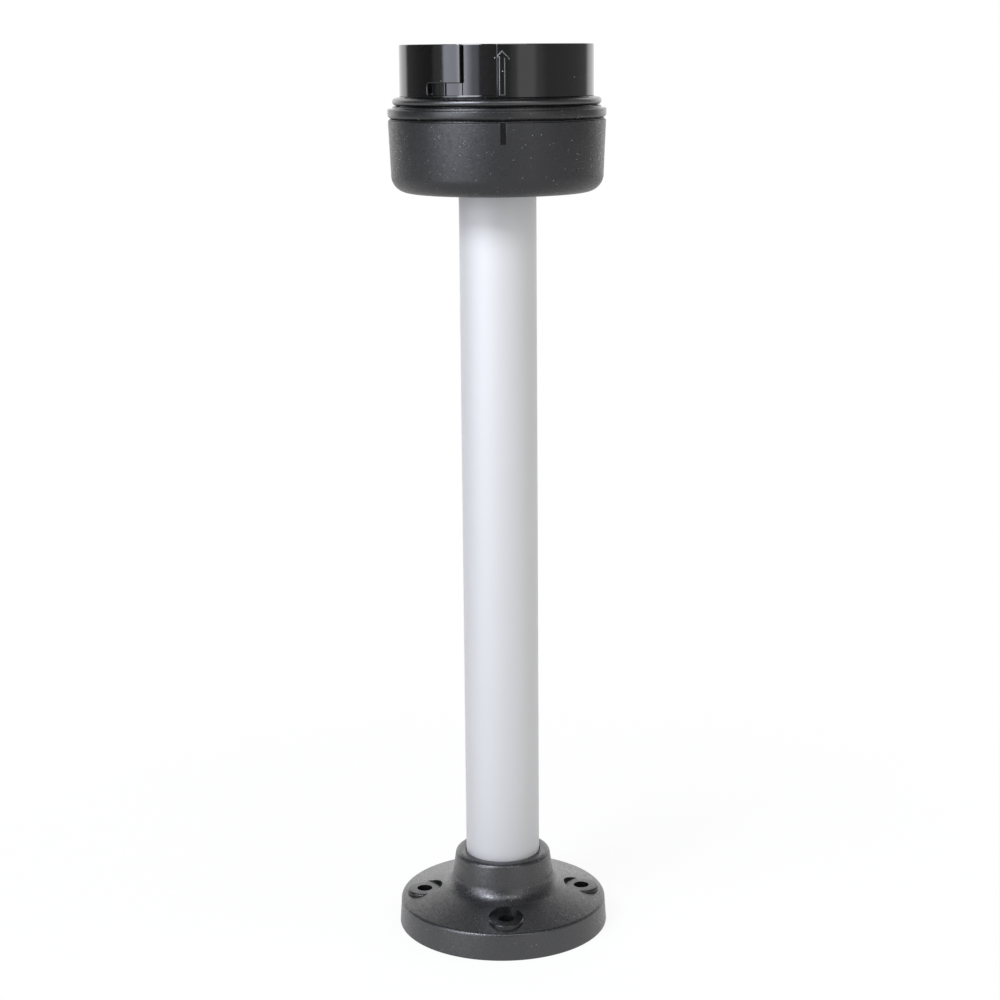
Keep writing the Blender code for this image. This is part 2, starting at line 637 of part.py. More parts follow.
def build_grommet(parts, finish, head):
    """Rubber grommet that lines the cable hole in the neck floor."""
    hole = GROMMET_HOLE / 2
    waist = GROMMET_SEAT / 2 - SEAT_GAP
    flange = GROMMET_SEAT / 2 + GROMMET_FLANGE
    high = NECK_FLOOR_Z + SEAT_GAP
    low = FLANGE_Z - SEAT_GAP
    profile = [
        (hole, high + GROMMET_FLANGE_HEIGHT),
        (flange, high + GROMMET_FLANGE_HEIGHT),
        (flange, high),
        (waist, high),
        (waist, low),
        (flange, low),
        (flange, low - GROMMET_FLANGE_HEIGHT),
        (hole, low - GROMMET_FLANGE_HEIGHT),
    ]
    return turned("cable_grommet", profile, parts, finish, head, INNER_STEPS)


def terminal_turns():
    """Angles of the terminals round the axis."""
    return [2 * math.pi * i / TERMINAL_COUNT for i in range(TERMINAL_COUNT)]


def build_base(parts, tools, finish, head):
    """Moulded terminal base: floor, rim, barriers that guide the cages, contact seats, screw posts."""
    profile = [
        (BASE_R - BASE_WALL, BASE_TOP_Z),
        (BASE_R, BASE_TOP_Z),
        (BASE_R, BASE_Z),
        (BASE_INNER_R, BASE_Z),
        (BASE_INNER_R, BASE_Z + BASE_FLOOR),
        (BASE_R - BASE_WALL, BASE_Z + BASE_FLOOR),
    ]
    base = turned("terminal_base", profile, parts, finish, head, INNER_STEPS)
    low = BASE_Z + BASE_FLOOR - FUSE_DEPTH
    high = BASE_TOP_Z - SLIDE_GAP
    outer = BASE_R - BASE_WALL + FUSE_DEPTH
    inner = BASE_INNER_R + FUSE_DEPTH
    fillers = []
    for turn in terminal_turns():
        for side in (-1, 1):
            near = side * BAY_HALF
            far = side * (BAY_HALF + BARRIER)
            fillers.append(((inner, min(near, far), low), (outer, max(near, far), high), turn))
    fuse(base, boxes("barrier_tool", fillers, tools))
    seat_half = BAY_HALF + FUSE_DEPTH
    seats = [((BLADE_R, -seat_half, low), (outer, seat_half, BAR_Z - SEAT_GAP), turn)
             for turn in terminal_turns()]
    fuse(base, boxes("contact_seat_tool", seats, tools))
    places = ring_places(HEAD_SCREW_R, HEAD_SCREW_COUNT, HEAD_SCREW_FIRST)
    fuse(base, rods("base_post_tool", CUP_POST / 2, low, high, places, tools, BOSS_STEPS))
    cut(base, rods("base_hole_tool", SCREW_HOLE_R, BASE_Z - BASE_FLOOR, RIM_Z, places, tools))
    return base


def build_cover(parts, tools, finish, head):
    """Plate over the terminals: drive holes that keep the screws in, and slots for the contact blades."""
    profile = [
        (COVER_HOLE / 2, COVER_TOP_Z),
        (BASE_R, COVER_TOP_Z),
        (BASE_R, COVER_Z),
        (COVER_HOLE / 2, COVER_Z),
    ]
    cover = turned("terminal_cover", profile, parts, finish, head, INNER_STEPS)
    places = ring_places(TERMINAL_R, TERMINAL_COUNT)
    pocket_r = TERMINAL_SCREW_HEAD / 2 + THREAD_GAP
    cut(cover, rods("head_pocket_tool", pocket_r, COVER_Z - COVER_HEIGHT, HEAD_POCKET_Z, places, tools))
    cut(cover, rods("drive_hole_tool", TERMINAL_DRIVE_HOLE / 2, COVER_Z, RIM_Z, places, tools))
    half = CONTACT_WIDTH / 2 + SEAT_GAP
    slot_low = (BLADE_R - SEAT_GAP, -half, COVER_Z - COVER_HEIGHT)
    slot_high = (BLADE_OUTER_R + SEAT_GAP, half, RIM_Z)
    slots = [(slot_low, slot_high, turn) for turn in terminal_turns()]
    cut(cover, boxes("blade_slot_tool", slots, tools))
    screws = ring_places(HEAD_SCREW_R, HEAD_SCREW_COUNT, HEAD_SCREW_FIRST)
    cut(cover, rods("cover_hole_tool", SCREW_HOLE_R, COVER_Z - COVER_HEIGHT, RIM_Z, screws, tools))
    return cover


def cage_mesh():
    """Rising clamp: a box with a window for wire and contact bar and a screw hole in its roof."""
    bm = bmesh.new()
    height = CAGE_TOP_Z - CAGE_Z
    matrix = Matrix.Translation((0, 0, height / 2)) @ Matrix.Diagonal((CAGE_DEPTH, CAGE_WIDTH, height, 1.0))
    bmesh.ops.create_cube(bm, size=1.0, matrix=matrix)
    return mesh_from(bm, "cage")


def build_cage(index, turn, parts, tools, finish, head):
    """One clamp cage, its origin on the screw's axis."""
    name = f"clamp_cage_{index}"
    cage = add_object(name, cage_mesh(), parts, finish, head)
    cage.location = (TERMINAL_R * math.cos(turn), TERMINAL_R * math.sin(turn), CAGE_Z)
    cage.rotation_euler.z = turn
    half = CAGE_WIDTH / 2 - CAGE_WALL
    low = (TERMINAL_R - CAGE_DEPTH, -half, CAGE_Z + CAGE_BOTTOM)
    high = (TERMINAL_R + CAGE_DEPTH, half, CAGE_ROOF_Z)
    cut(cage, boxes(name + "_window_tool", [(low, high, turn)], tools))
    hole_r = TERMINAL_SCREW_DIAMETER / 2 + THREAD_GAP
    place = [(cage.location.x, cage.location.y)]
    cut(cage, rods(name + "_hole_tool", hole_r, BAR_TOP_Z, RIM_Z, place, tools))
    return cage


def build_terminal_screw(index, turn, parts, tools, finish, head):
    """One captive clamp screw: shank down to the contact bar, slotted head under the cover."""
    name = f"terminal_screw_{index}"
    tip = BAR_TOP_Z + SEAT_GAP - SCREW_HEAD_Z
    profile = [
        (0.0, TERMINAL_HEAD_HEIGHT),
        (TERMINAL_SCREW_HEAD / 2, TERMINAL_HEAD_HEIGHT),
        (TERMINAL_SCREW_HEAD / 2, 0.0),
        (TERMINAL_SCREW_DIAMETER / 2, 0.0),
        (TERMINAL_SCREW_DIAMETER / 2, tip),
        (0.0, tip),
    ]
    screw = spindle(name, profile, parts, finish, head)
    screw.location = (TERMINAL_R * math.cos(turn), TERMINAL_R * math.sin(turn), SCREW_HEAD_Z)
    screw.rotation_euler.z = turn
    top = SCREW_HEAD_Z + TERMINAL_HEAD_HEIGHT
    half = TERMINAL_SLOT_WIDTH / 2
    low = (TERMINAL_R - TERMINAL_SCREW_HEAD, -half, top - TERMINAL_SLOT_DEPTH)
    high = (TERMINAL_R + TERMINAL_SCREW_HEAD, half, top + TERMINAL_HEAD_HEIGHT)
    cut(screw, boxes(name + "_slot_tool", [(low, high, turn)], tools))
    return screw


def spindle(name, profile, parts, finish, head):
    """A solid turned piece whose profile starts and ends on the axis."""
    mesh = bpy.data.meshes.new(name)
    points = [(radius, 0.0, z) for radius, z in profile]
    mesh.from_pydata(points, [(i, i + 1) for i in range(len(points) - 1)], [])
    obj = add_object(name, mesh, parts, finish, head)
    screw = obj.modifiers.new("Turn", "SCREW")
    screw.axis = "Z"
    screw.steps = SMALL_STEPS
    screw.render_steps = SMALL_STEPS
    screw.use_merge_vertices = True
    screw.merge_threshold = 0.00001
    return obj


def build_contact(index, turn, parts, finish, head):
    """One bent brass contact: a bar through the cage and a blade up through the cover."""
    name = f"contact_{index}"
    inner = TERMINAL_R - CONTACT_INNER_REACH
    blade_top = COVER_TOP_Z + BLADE_HEIGHT
    outline = [(inner, BAR_Z), (BLADE_OUTER_R, BAR_Z), (BLADE_OUTER_R, blade_top), (BLADE_R, blade_top),
               (BLADE_R, BAR_TOP_Z), (inner, BAR_TOP_Z)]
    bm = bmesh.new()
    half = CONTACT_WIDTH / 2
    face = bm.faces.new([bm.verts.new((x, -half, z)) for x, z in outline])
    swept = bmesh.ops.extrude_face_region(bm, geom=[face])
    moved = [item for item in swept["geom"] if isinstance(item, bmesh.types.BMVert)]
    bmesh.ops.translate(bm, verts=moved, vec=(0, CONTACT_WIDTH, 0))
    contact = add_object(name, mesh_from(bm, name), parts, finish, head)
    contact.rotation_euler.z = turn
    return contact


def head_screw_length():
    """From under the screw head down into the cup's post."""
    return COVER_TOP_Z - FLANGE_Z + HEAD_SCREW_GRIP


def build_head_screw(index, place, parts, tools, finish, head):
    """One long screw through cover, base and neck floor into the cup."""
    name = f"head_screw_{index}"
    profile = [
        (0.0, HEAD_SCREW_HEAD_HEIGHT),
        (HEAD_SCREW_HEAD / 2, HEAD_SCREW_HEAD_HEIGHT),
        (HEAD_SCREW_HEAD / 2, 0.0),
        (HEAD_SCREW_DIAMETER / 2, 0.0),
        (HEAD_SCREW_DIAMETER / 2, -head_screw_length()),
        (0.0, -head_screw_length()),
    ]
    screw = spindle(name, profile, parts, finish, head)
    seat = COVER_TOP_Z + SEAT_GAP
    screw.location = (*place, seat)
    top = seat + HEAD_SCREW_HEAD_HEIGHT
    half = TERMINAL_SLOT_WIDTH / 2
    reach = HEAD_SCREW_HEAD
    low = (place[0] - reach, place[1] - half, top - TERMINAL_SLOT_DEPTH)
    high = (place[0] + reach, place[1] + half, top + HEAD_SCREW_HEAD_HEIGHT)
    cut(screw, boxes(name + "_slot_tool", [(low, high, 0.0)], tools))
    return screw


def main():
    for obj in list(bpy.data.objects):
        bpy.data.objects.remove(obj, do_unlink=True)
    parts = collection("signal_tower_pole_base")
    tools = collection("cutters")
    head = bpy.data.objects.new("head_axis", None)
    parts.objects.link(head)

    build_foot(parts, tools, material("foot_polyamide", (0.052, 0.052, 0.055), 0.62))
    build_tube(parts, material("anodised_aluminium", (0.78, 0.79, 0.81), 0.34, 1.0))
    foot_screw_z = FOOT_HEIGHT - FOOT_SCREW_DROP
    foot_screw_length = HUB_R - TUBE_R - 2 * SEAT_GAP
    steel = material("set_screw_steel", (0.30, 0.30, 0.31), 0.35, 1.0)
    build_set_screw("foot_set_screw", foot_screw_length, foot_screw_z, parts, tools, steel)

    build_cup(parts, tools, material("cup_plastic", (0.045, 0.045, 0.048), 0.58), head)
    clamp_steel = material("clamp_screw_steel", (0.30, 0.30, 0.31), 0.35, 1.0)
    cup_screw_z = CUP_BOTTOM_Z + CUP_SOCKET_DEPTH / 2
    build_set_screw("cup_clamp_screw", CUP_SCREW_LENGTH, cup_screw_z, parts, tools, clamp_steel, head)
    build_seal(parts, material("seal_rubber", (0.012, 0.012, 0.012), 0.8), head)
    build_neck(parts, tools, material("neck_gloss_plastic", (0.012, 0.012, 0.013), 0.12), head)
    build_ring(parts, material("ring_rubber", (0.02, 0.02, 0.02), 0.5), head)
    build_grommet(parts, material("grommet_rubber", (0.015, 0.015, 0.015), 0.7), head)

    build_base(parts, tools, material("base_plastic", (0.55, 0.55, 0.52), 0.5), head)
    build_cover(parts, tools, material("cover_plastic", (0.05, 0.05, 0.05), 0.5), head)
    for index, turn in enumerate(terminal_turns(), start=1):
        brass = material(f"contact_brass_{index}", (0.72, 0.53, 0.25), 0.3, 1.0)
        build_contact(index, turn, parts, brass, head)
        plated = material(f"cage_steel_{index}", (0.62, 0.62, 0.60), 0.35, 1.0)
        build_cage(index, turn, parts, tools, plated, head)
        zinc = material(f"screw_zinc_{index}", (0.60, 0.61, 0.62), 0.3, 1.0)
        build_terminal_screw(index, turn, parts, tools, zinc, head)
    places = ring_places(HEAD_SCREW_R, HEAD_SCREW_COUNT, HEAD_SCREW_FIRST)
    for index, place in enumerate(places, start=1):
        zinc = material(f"head_screw_zinc_{index}", (0.60, 0.61, 0.62), 0.3, 1.0)
        build_head_screw(index, place, parts, tools, zinc, head)


main()
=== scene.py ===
"""Dresses the signal tower pole base: smooth mouldings, real finishes and a white studio.

Metres, +Z up the pole, origin under the foot's centre. The arrow and the line face -Y.
"""

import math

import bmesh
import bpy
from mathutils import Matrix, Vector


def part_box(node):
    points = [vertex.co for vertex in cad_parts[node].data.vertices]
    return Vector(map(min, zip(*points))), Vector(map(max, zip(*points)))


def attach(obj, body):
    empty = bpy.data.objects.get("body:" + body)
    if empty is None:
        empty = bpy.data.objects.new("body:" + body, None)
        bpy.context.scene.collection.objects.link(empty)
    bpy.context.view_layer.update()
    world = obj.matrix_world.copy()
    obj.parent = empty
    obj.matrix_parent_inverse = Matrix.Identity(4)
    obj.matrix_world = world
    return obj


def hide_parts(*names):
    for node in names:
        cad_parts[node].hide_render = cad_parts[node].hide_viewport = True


bl_info = {
    "name": "Signal tower pole base",
    "version": (1, 0, 0),
    "blender": (4, 5, 0),
    "location": "3D View > Sidebar > Pole base",
    "description": "Builds the smooth mouldings, finishes and studio of a signal tower pole base",
    "category": "Object",
}

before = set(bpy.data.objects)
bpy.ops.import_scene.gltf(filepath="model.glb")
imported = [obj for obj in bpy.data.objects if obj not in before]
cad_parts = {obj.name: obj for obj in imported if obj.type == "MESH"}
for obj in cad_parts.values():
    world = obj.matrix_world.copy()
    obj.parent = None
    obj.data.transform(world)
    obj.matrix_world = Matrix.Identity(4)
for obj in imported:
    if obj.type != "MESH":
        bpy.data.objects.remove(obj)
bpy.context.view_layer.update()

MM = 0.001

# Heights that the pieces share, read from the solids or set from them
FOOT_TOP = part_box("foot")[1].z
TUBE_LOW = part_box("tube")[0].z
TUBE_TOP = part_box("tube")[1].z
CUP_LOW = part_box("cup")[0].z
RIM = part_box("bayonet_neck")[1].z
COVER_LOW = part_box("terminal_cover")[0].z
COVER_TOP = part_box("terminal_cover")[1].z
CUP_TOP = CUP_LOW + 22.8 * MM
FLANGE_LOW = CUP_TOP + 0.55 * MM
FLANGE_TOP = FLANGE_LOW + 2.95 * MM
LIP_TOP = FLANGE_TOP + 0.8 * MM
NECK_LOW = LIP_TOP + 3.0 * MM
NECK_FLOOR = FLANGE_LOW + 2.5 * MM

# Radii that the pieces share
BORE = 10.5 * MM
SOCKET = 12.7 * MM
NECK = 31.2 * MM
NECK_INSIDE = 28.5 * MM
RING_SEAT = 30.75 * MM
CUP_INSIDE = 32.4 * MM
SLOT_FLOOR = 29.5 * MM
LEG_FLOOR = 29.9 * MM
RIB_TOP = LEG_FLOOR + 0.5 * MM
SLOT_BACK = 27.5 * MM
BOLT_RING = 27.1 * MM
TERMINAL_RING = 18.3 * MM
SCREW_RING = 21.0 * MM
SCREW_HOLE = 1.65 * MM
SET_SCREW_HOLE = 2.0 * MM

# Brightness of the studio round the object: degrees from the front towards the right, strength
STUDIO = ((-180, 1.7), (-136, 1.7), (-128, 0.25), (-84, 0.15), (-78, 0.5), (-68, 0.6), (-65, 4.9),
          (-50, 4.5), (-46, 7.0), (-40, 5.5), (-35, 3.2), (-31, 1.9), (-25, 1.7), (-22, 0.45), (-6, 0.35),
          (10, 0.35), (19, 0.7), (25, 1.5), (40, 1.5), (48, 0.75), (60, 0.45), (124, 0.4), (136, 1.7),
          (180, 1.7))

# The left soft box is a little cooler than the rest: degrees from the front, colour
NEUTRAL = (1.0, 1.0, 1.0)
COOL = (0.93, 0.96, 1.08)
COOL_BOX = ((-180, NEUTRAL), (-74, NEUTRAL), (-64, COOL), (-24, COOL), (-14, NEUTRAL), (180, NEUTRAL))

TERMINAL_TURNS = [math.radians(60 * i) for i in range(6)]
SCREW_TURNS = [math.radians(30 + 120 * i) for i in range(3)]
BOLT_TURNS = [math.radians(90 * i) for i in range(4)]

# Small turn of slots, arrow and line from the front of the foot, in degrees
MARK_TURN = 1.14


def linear(code):
    """An sRGB hex colour as linear red, green and blue."""
    values = []
    for i in (1, 3, 5):
        share = int(code[i:i + 2], 16) / 255
        values.append(share / 12.92 if share <= 0.04045 else ((share + 0.055) / 1.055) ** 2.4)
    return tuple(values)


def colour_property(name, description, code):
    """A colour in the sidebar, given as an sRGB hex code."""
    return bpy.props.FloatVectorProperty(
        name=name, description=description, subtype="COLOR", size=3, min=0, max=1, default=linear(code))


def number_property(name, description, value, **options):
    """A number in the sidebar."""
    return bpy.props.FloatProperty(name=name, description=description, default=value, **options)


def length_property(name, description, millimetres):
    """A length in the sidebar, given in millimetres."""
    return number_property(name, description, millimetres * MM, unit="LENGTH", precision=5, min=0)


def angle_property(name, description, degrees):
    """An angle in the sidebar, given in degrees."""
    return number_property(name, description, math.radians(degrees), subtype="ANGLE")


def power_property(name, description, watts):
    """A lamp's power in the sidebar."""
    return number_property(name, description, watts, unit="POWER", min=0)


class FootSettings(bpy.types.PropertyGroup):
    """Sizes and finish of the foot."""
    colour: colour_property("Colour", "Black of the foot's moulded plastic", "#19191b")
    grain: length_property("Grain", "Width of one spot of the foot's eroded texture", 0.55)
    seat: length_property("Bolt seat", "Diameter of the flat seat round each bolt hole", 11.9)
    bolt_hole: length_property("Bolt hole", "Diameter of each bolt hole", 5.2)


class TubeSettings(bpy.types.PropertyGroup):
    """Finish of the pole."""
    colour: colour_property("Colour", "Natural anodised aluminium", "#c8c8c8")
    roughness: number_property("Roughness", "How far the finish spreads reflections", 0.72, min=0, max=1)


class HeadSettings(bpy.types.PropertyGroup):
    """Sizes and finish of cup, flange, neck and rings."""
    cup_colour: colour_property("Cup colour", "Black of the cup's fine-grained plastic", "#141416")
    flange_colour: colour_property("Flange colour", "Black of the flange's rubbed plastic", "#111112")
    neck_colour: colour_property("Neck colour", "Black of the polished neck", "#0b0b0c")
    rubber_colour: colour_property("Rubber colour", "Black of ring, seal and grommet", "#101011")
    grain: length_property("Cup grain", "Width of one spot of the cup's fine texture", 0.4)
    edge: length_property("Edge radius", "Rounding of the neck's moulded edges", 0.28)


class TerminalSettings(bpy.types.PropertyGroup):
    """Finish of the terminals inside the neck."""
    base_colour: colour_property("Base colour", "Light grey of the insulating base", "#bdbdb8")
    cover_colour: colour_property("Cover colour", "Dark grey of the plate over the terminals", "#303032")
    brass_colour: colour_property("Brass colour", "Rolled brass of the contacts", "#d2ab62")
    zinc_colour: colour_property("Zinc colour", "Bright zinc of screws and cages", "#c3c6ca")


class StageSettings(bpy.types.PropertyGroup):
    """Camera and light."""
    distance: length_property("Distance", "From the camera to the pole, level", 664.8)
    height: length_property("Height", "Height of the camera above the floor", 294.5)
    tilt: angle_property("Tilt", "How far the camera looks down", 12.4)
    side: angle_property("Side", "How far the camera stands to the left", 1.9)
    roll: angle_property("Roll", "Lean of the camera", -0.46)
    lens: number_property("Lens", "Focal length in millimetres", 73.76, min=1)
    top_power: power_property("Top lamp", "Power of the soft lamp above on the left", 5.0)
    fill_power: power_property("Fill lamp", "Power of the soft lamp above on the right", 1.5)
    side_power: power_property("Side lamp", "Power of the matte fill light on the right", 4.3)


class PoleBaseSettings(bpy.types.PropertyGroup):
    """Everything that can be changed in the sidebar."""
    foot: bpy.props.PointerProperty(type=FootSettings)
    tube: bpy.props.PointerProperty(type=TubeSettings)
    head: bpy.props.PointerProperty(type=HeadSettings)
    terminals: bpy.props.PointerProperty(type=TerminalSettings)
    stage: bpy.props.PointerProperty(type=StageSettings)


# Meshes


def smooth(mesh, sharp=35):
    """Shade a mesh smooth up to this angle between faces."""
    mesh.shade_smooth()
    mesh.set_sharp_from_angle(angle=math.radians(sharp))


def finish_mesh(bm, name):
    """Turn a bmesh into a mesh with outward faces."""
    bmesh.ops.recalc_face_normals(bm, faces=bm.faces)
    mesh = bpy.data.meshes.new(name)
    bm.to_mesh(mesh)
    bm.free()
    smooth(mesh)
    return mesh


def place(name, mesh, material=None):
    """Link a mesh into the scene."""
    obj = bpy.data.objects.new(name, mesh)
    bpy.context.scene.collection.objects.link(obj)
    if material is not None:
        mesh.materials.clear()
        mesh.materials.append(material)
    return obj


def arc(centre, radius, start, end, steps):
    """Points on an arc in the (radius, z) plane, angles in degrees."""
    turns = [math.radians(start + (end - start) * i / steps) for i in range(steps + 1)]
    return [(centre[0] + radius * math.cos(turn), centre[1] + radius * math.sin(turn)) for turn in turns]


def softened(outline, steps=4):
    """A closed outline of (a, b, corner radius) points with its corners rounded."""
    points = []
    count = len(outline)
    for i, (a, b, radius) in enumerate(outline):
        here = Vector((a, b))
        before = Vector(outline[i - 1][:2]) - here
        after = Vector(outline[(i + 1) % count][:2]) - here
        if radius <= 0 or min(before.length, after.length) == 0:
            points.append((a, b))
            continue
        half = before.angle(after) / 2
        reach = min(radius / math.tan(half), 0.48 * before.length, 0.48 * after.length)
        first = here + before.normalized() * reach
        last = here + after.normalized() * reach
        for k in range(steps + 1):
            share = k / steps
            near = first.lerp(here, share)
            far = here.lerp(last, share)
            points.append(tuple(near.lerp(far, share)))
    return points


def lathe(name, profile, steps=160, turn=0.0):
    """A closed (radius, z) profile turned about Z. Points on the axis become single points."""
    bm = bmesh.new()
    rings = []
    for radius, z in profile:
        if radius < 1e-7:
            rings.append([bm.verts.new((0, 0, z))] * steps)
            continue
        ring = []
        for i in range(steps):
            angle = turn + 2 * math.pi * i / steps
            ring.append(bm.verts.new((radius * math.cos(angle), radius * math.sin(angle), z)))
        rings.append(ring)
    for a, b in zip(rings, rings[1:] + rings[:1]):
        for i in range(steps):
            k = (i + 1) % steps
            corners = list(dict.fromkeys((a[i], a[k], b[k], b[i])))
            if len(corners) > 2:
                bm.faces.new(corners)
    return finish_mesh(bm, name)


def pillar(radius, low, high, x, y, steps=48, edge=0.0):
    """An upright round tool, its top edge rounded by edge."""
    profile = softened([(0, high, 0), (radius, high, edge), (radius, low, 0), (0, low, 0)])
    mesh = lathe("pillar", profile, steps, 0.01)
    mesh.transform(Matrix.Translation((x, y, 0)))
    return mesh


def crossbar(radius, start, end, z, steps=40):
    """A round tool lying along +Y between two distances from the pole's axis."""
    mesh = lathe("crossbar", [(0, end), (radius, end), (radius, start), (0, start)], steps, 0.01)
    mesh.transform(Matrix.Translation((0, 0, z)) @ Matrix.Rotation(-math.pi / 2, 4, "X"))
    return mesh


def block(low, high, turn=0.0):
    """A box tool between two corners, turned about Z."""
    bm = bmesh.new()
    size = Vector(high) - Vector(low)
    middle = (Vector(high) + Vector(low)) / 2
    matrix = Matrix.Rotation(turn, 4, "Z") @ Matrix.Translation(middle) @ Matrix.Diagonal((*size, 1))
    bmesh.ops.create_cube(bm, size=1, matrix=matrix)
    return finish_mesh(bm, "block")


def extruded(name, outline, vector, edge=0.0):
    """A flat outline of 3D points pushed along a vector, its far edges rounded by edge."""
    bm = bmesh.new()
    face = bm.faces.new([bm.verts.new(point) for point in outline])
    swept = bmesh.ops.extrude_face_region(bm, geom=[face])["geom"]
    moved = [item for item in swept if isinstance(item, bmesh.types.BMVert)]
    bmesh.ops.translate(bm, verts=moved, vec=vector)
    if edge > 0:
        rim = [e for item in swept if isinstance(item, bmesh.types.BMFace) for e in item.edges]
        bmesh.ops.bevel(bm, geom=rim, offset=edge, segments=3, profile=0.5, affect="EDGES")
    return finish_mesh(bm, name)


def stepped_ring(name, turns, heights, outer, inner):
    """A ring on a grid of angles and heights whose outside steps from cell to cell."""
    bm = bmesh.new()
    count = len(turns)
    rows = len(heights) - 1
    spots = {}

    def spot(i, j, radius):
        key = (i % count, j, round(radius, 7))
        if key not in spots:
            turn = turns[i % count]
            spots[key] = bm.verts.new((radius * math.sin(turn), -radius * math.cos(turn), heights[j]))
        return spots[key]

    levels = {inner(i) for i in range(count)} | {outer(i, j) for i in range(count) for j in range(rows)}

    def steps(a, b):
        between = [level for level in sorted(levels) if min(a, b) <= level <= max(a, b)]
        return zip(between, between[1:])

    for i in range(count):
        for j in range(rows):
            for radius in (outer(i, j), inner(i)):
                places = ((i, j), (i + 1, j), (i + 1, j + 1), (i, j + 1))
                bm.faces.new([spot(column, row, radius) for column, row in places])
            pairs = [*steps(outer(i - 1, j), outer(i, j)), *steps(inner(i - 1), inner(i))]
            for a, b in pairs:
                bm.faces.new((spot(i, j, a), spot(i, j, b), spot(i, j + 1, b), spot(i, j + 1, a)))
        for j in range(rows + 1):
            below = outer(i, j - 1) if j > 0 else inner(i)
            above = outer(i, j) if j < rows else inner(i)
            for a, b in steps(below, above):
                bm.faces.new((spot(i, j, a), spot(i + 1, j, a), spot(i + 1, j, b), spot(i, j, b)))
    return finish_mesh(bm, name)


def round_edges(mesh, width, chosen, segments=2, merge=0.1 * MM):
    """Round the edges that a test on an edge picks."""
    bm = bmesh.new()
    bm.from_mesh(mesh)
    bmesh.ops.remove_doubles(bm, verts=bm.verts, dist=merge)
    bm.normal_update()
    edges = [edge for edge in bm.edges if len(edge.link_faces) == 2 and chosen(edge)]
    bmesh.ops.bevel(bm, geom=edges, offset=width, segments=segments, profile=0.5, affect="EDGES",
                    clamp_overlap=True)
    bm.to_mesh(mesh)
    bm.free()
    smooth(mesh)


def around(radius, turns):
    """Points at these angles on a circle about the pole's axis."""
    return [(radius * math.cos(turn), radius * math.sin(turn)) for turn in turns]


def from_axis(point):
    """Distance of a point from the pole's axis."""
    return math.hypot(point.x, point.y)


def true_round(mesh, radii):
    """Point the normals of faces on these radii straight out from or in to the axis."""
    normals = [(0.0, 0.0, 0.0)] * len(mesh.loops)
    for face in mesh.polygons:
        out = Vector((face.center.x, face.center.y, 0)).normalized()
        if abs(face.normal.dot(out)) < 0.95:
            continue
        lengths = [from_axis(mesh.vertices[v].co) for v in face.vertices]
        if not any(max(abs(length - radius) for length in lengths) < 0.02 * MM for radius in radii):
            continue
        side = math.copysign(1.0, face.normal.dot(out))
        for loop in face.loop_indices:
            x, y, z = mesh.vertices[mesh.loops[loop].vertex_index].co
            normals[loop] = tuple(side * Vector((x, y, 0)).normalized())
    mesh.normals_split_custom_set(normals)


def close_gaps(mesh):
    """Weld doubled points and close the small gaps that cutting left."""
    bm = bmesh.new()
    bm.from_mesh(mesh)
    bmesh.ops.remove_doubles(bm, verts=bm.verts, dist=0.0001 * MM)
    gaps = [edge for edge in bm.edges if edge.is_boundary]
    bmesh.ops.holes_fill(bm, edges=gaps)
    bmesh.ops.recalc_face_normals(bm, faces=bm.faces)
    bm.to_mesh(mesh)
    bm.free()


def carved(name, mesh, steps, material, sharp=35):
    """Fuse and cut the tools in turn and link the result."""
    obj = place(name, mesh, material)
    tools = []
    for operation, tool_mesh in steps:
        tool = place(name + "_tool", tool_mesh, material)
        tools.append(tool)
        step = obj.modifiers.new("carve", "BOOLEAN")
        step.operation = operation
        step.solver = "EXACT"
        step.object = tool
    graph = bpy.context.evaluated_depsgraph_get()
    result = bpy.data.meshes.new_from_object(obj.evaluated_get(graph))
    obj.modifiers.clear()
    obj.data = result
    result.name = name
    close_gaps(result)
    smooth(result, sharp)
    for tool in tools:
        data = tool.data
        bpy.data.objects.remove(tool)
        bpy.data.meshes.remove(data)
    return obj


def stand_in(obj, body, slot, *nodes):
    """Let a piece ride on its body in place of the solids that it shows in detail."""
    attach(obj, body)
    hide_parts(*nodes)
    return obj


# Finishes


def add_node(tree, kind, settings=None, links=None):
    """Add a node, set its sockets and properties, and link its inputs."""
    node = tree.nodes.new(kind)
    for key, value in (settings or {}).items():
        if isinstance(key, int) or key in node.inputs:
            node.inputs[key].default_value = value
        else:
            setattr(node, key, value)
    for key, source in (links or {}).items():
        tree.links.new(source, node.inputs[key])
    return node


def new_material(name, settings):
    """A material with its Principled shader set, and the place on the piece in metres."""
    material = bpy.data.materials.new(name)
    material.use_nodes = True
    tree = material.node_tree
    shader = tree.nodes["Principled BSDF"]
    for key, value in settings.items():
        shader.inputs[key].default_value = value
    coordinates = add_node(tree, "ShaderNodeTexCoord")
    return material, tree, shader, coordinates.outputs["Object"]


def maths(tree, operation, *values):
    """The result of a Math node on numbers and sockets."""
    numbers = {i: value for i, value in enumerate(values) if isinstance(value, (int, float))}
    sockets = {i: value for i, value in enumerate(values) if i not in numbers}
    return add_node(tree, "ShaderNodeMath", {"operation": operation, **numbers}, sockets).outputs["Value"]


def noise(tree, where, size, detail, roughness=0.5):
    """Soft noise from 0 to 1 whose spots are about this size."""
    settings = {"Scale": 1 / size, "Detail": detail, "Roughness": roughness}
    return add_node(tree, "ShaderNodeTexNoise", settings, {"Vector": where}).outputs["Fac"]


def spread(tree, value, low, high, start=0.0, end=1.0):
    """Map a value that runs from start to end onto low to high."""
    settings = {"From Min": start, "From Max": end, "To Min": low, "To Max": high}
    return add_node(tree, "ShaderNodeMapRange", settings, {"Value": value}).outputs["Result"]


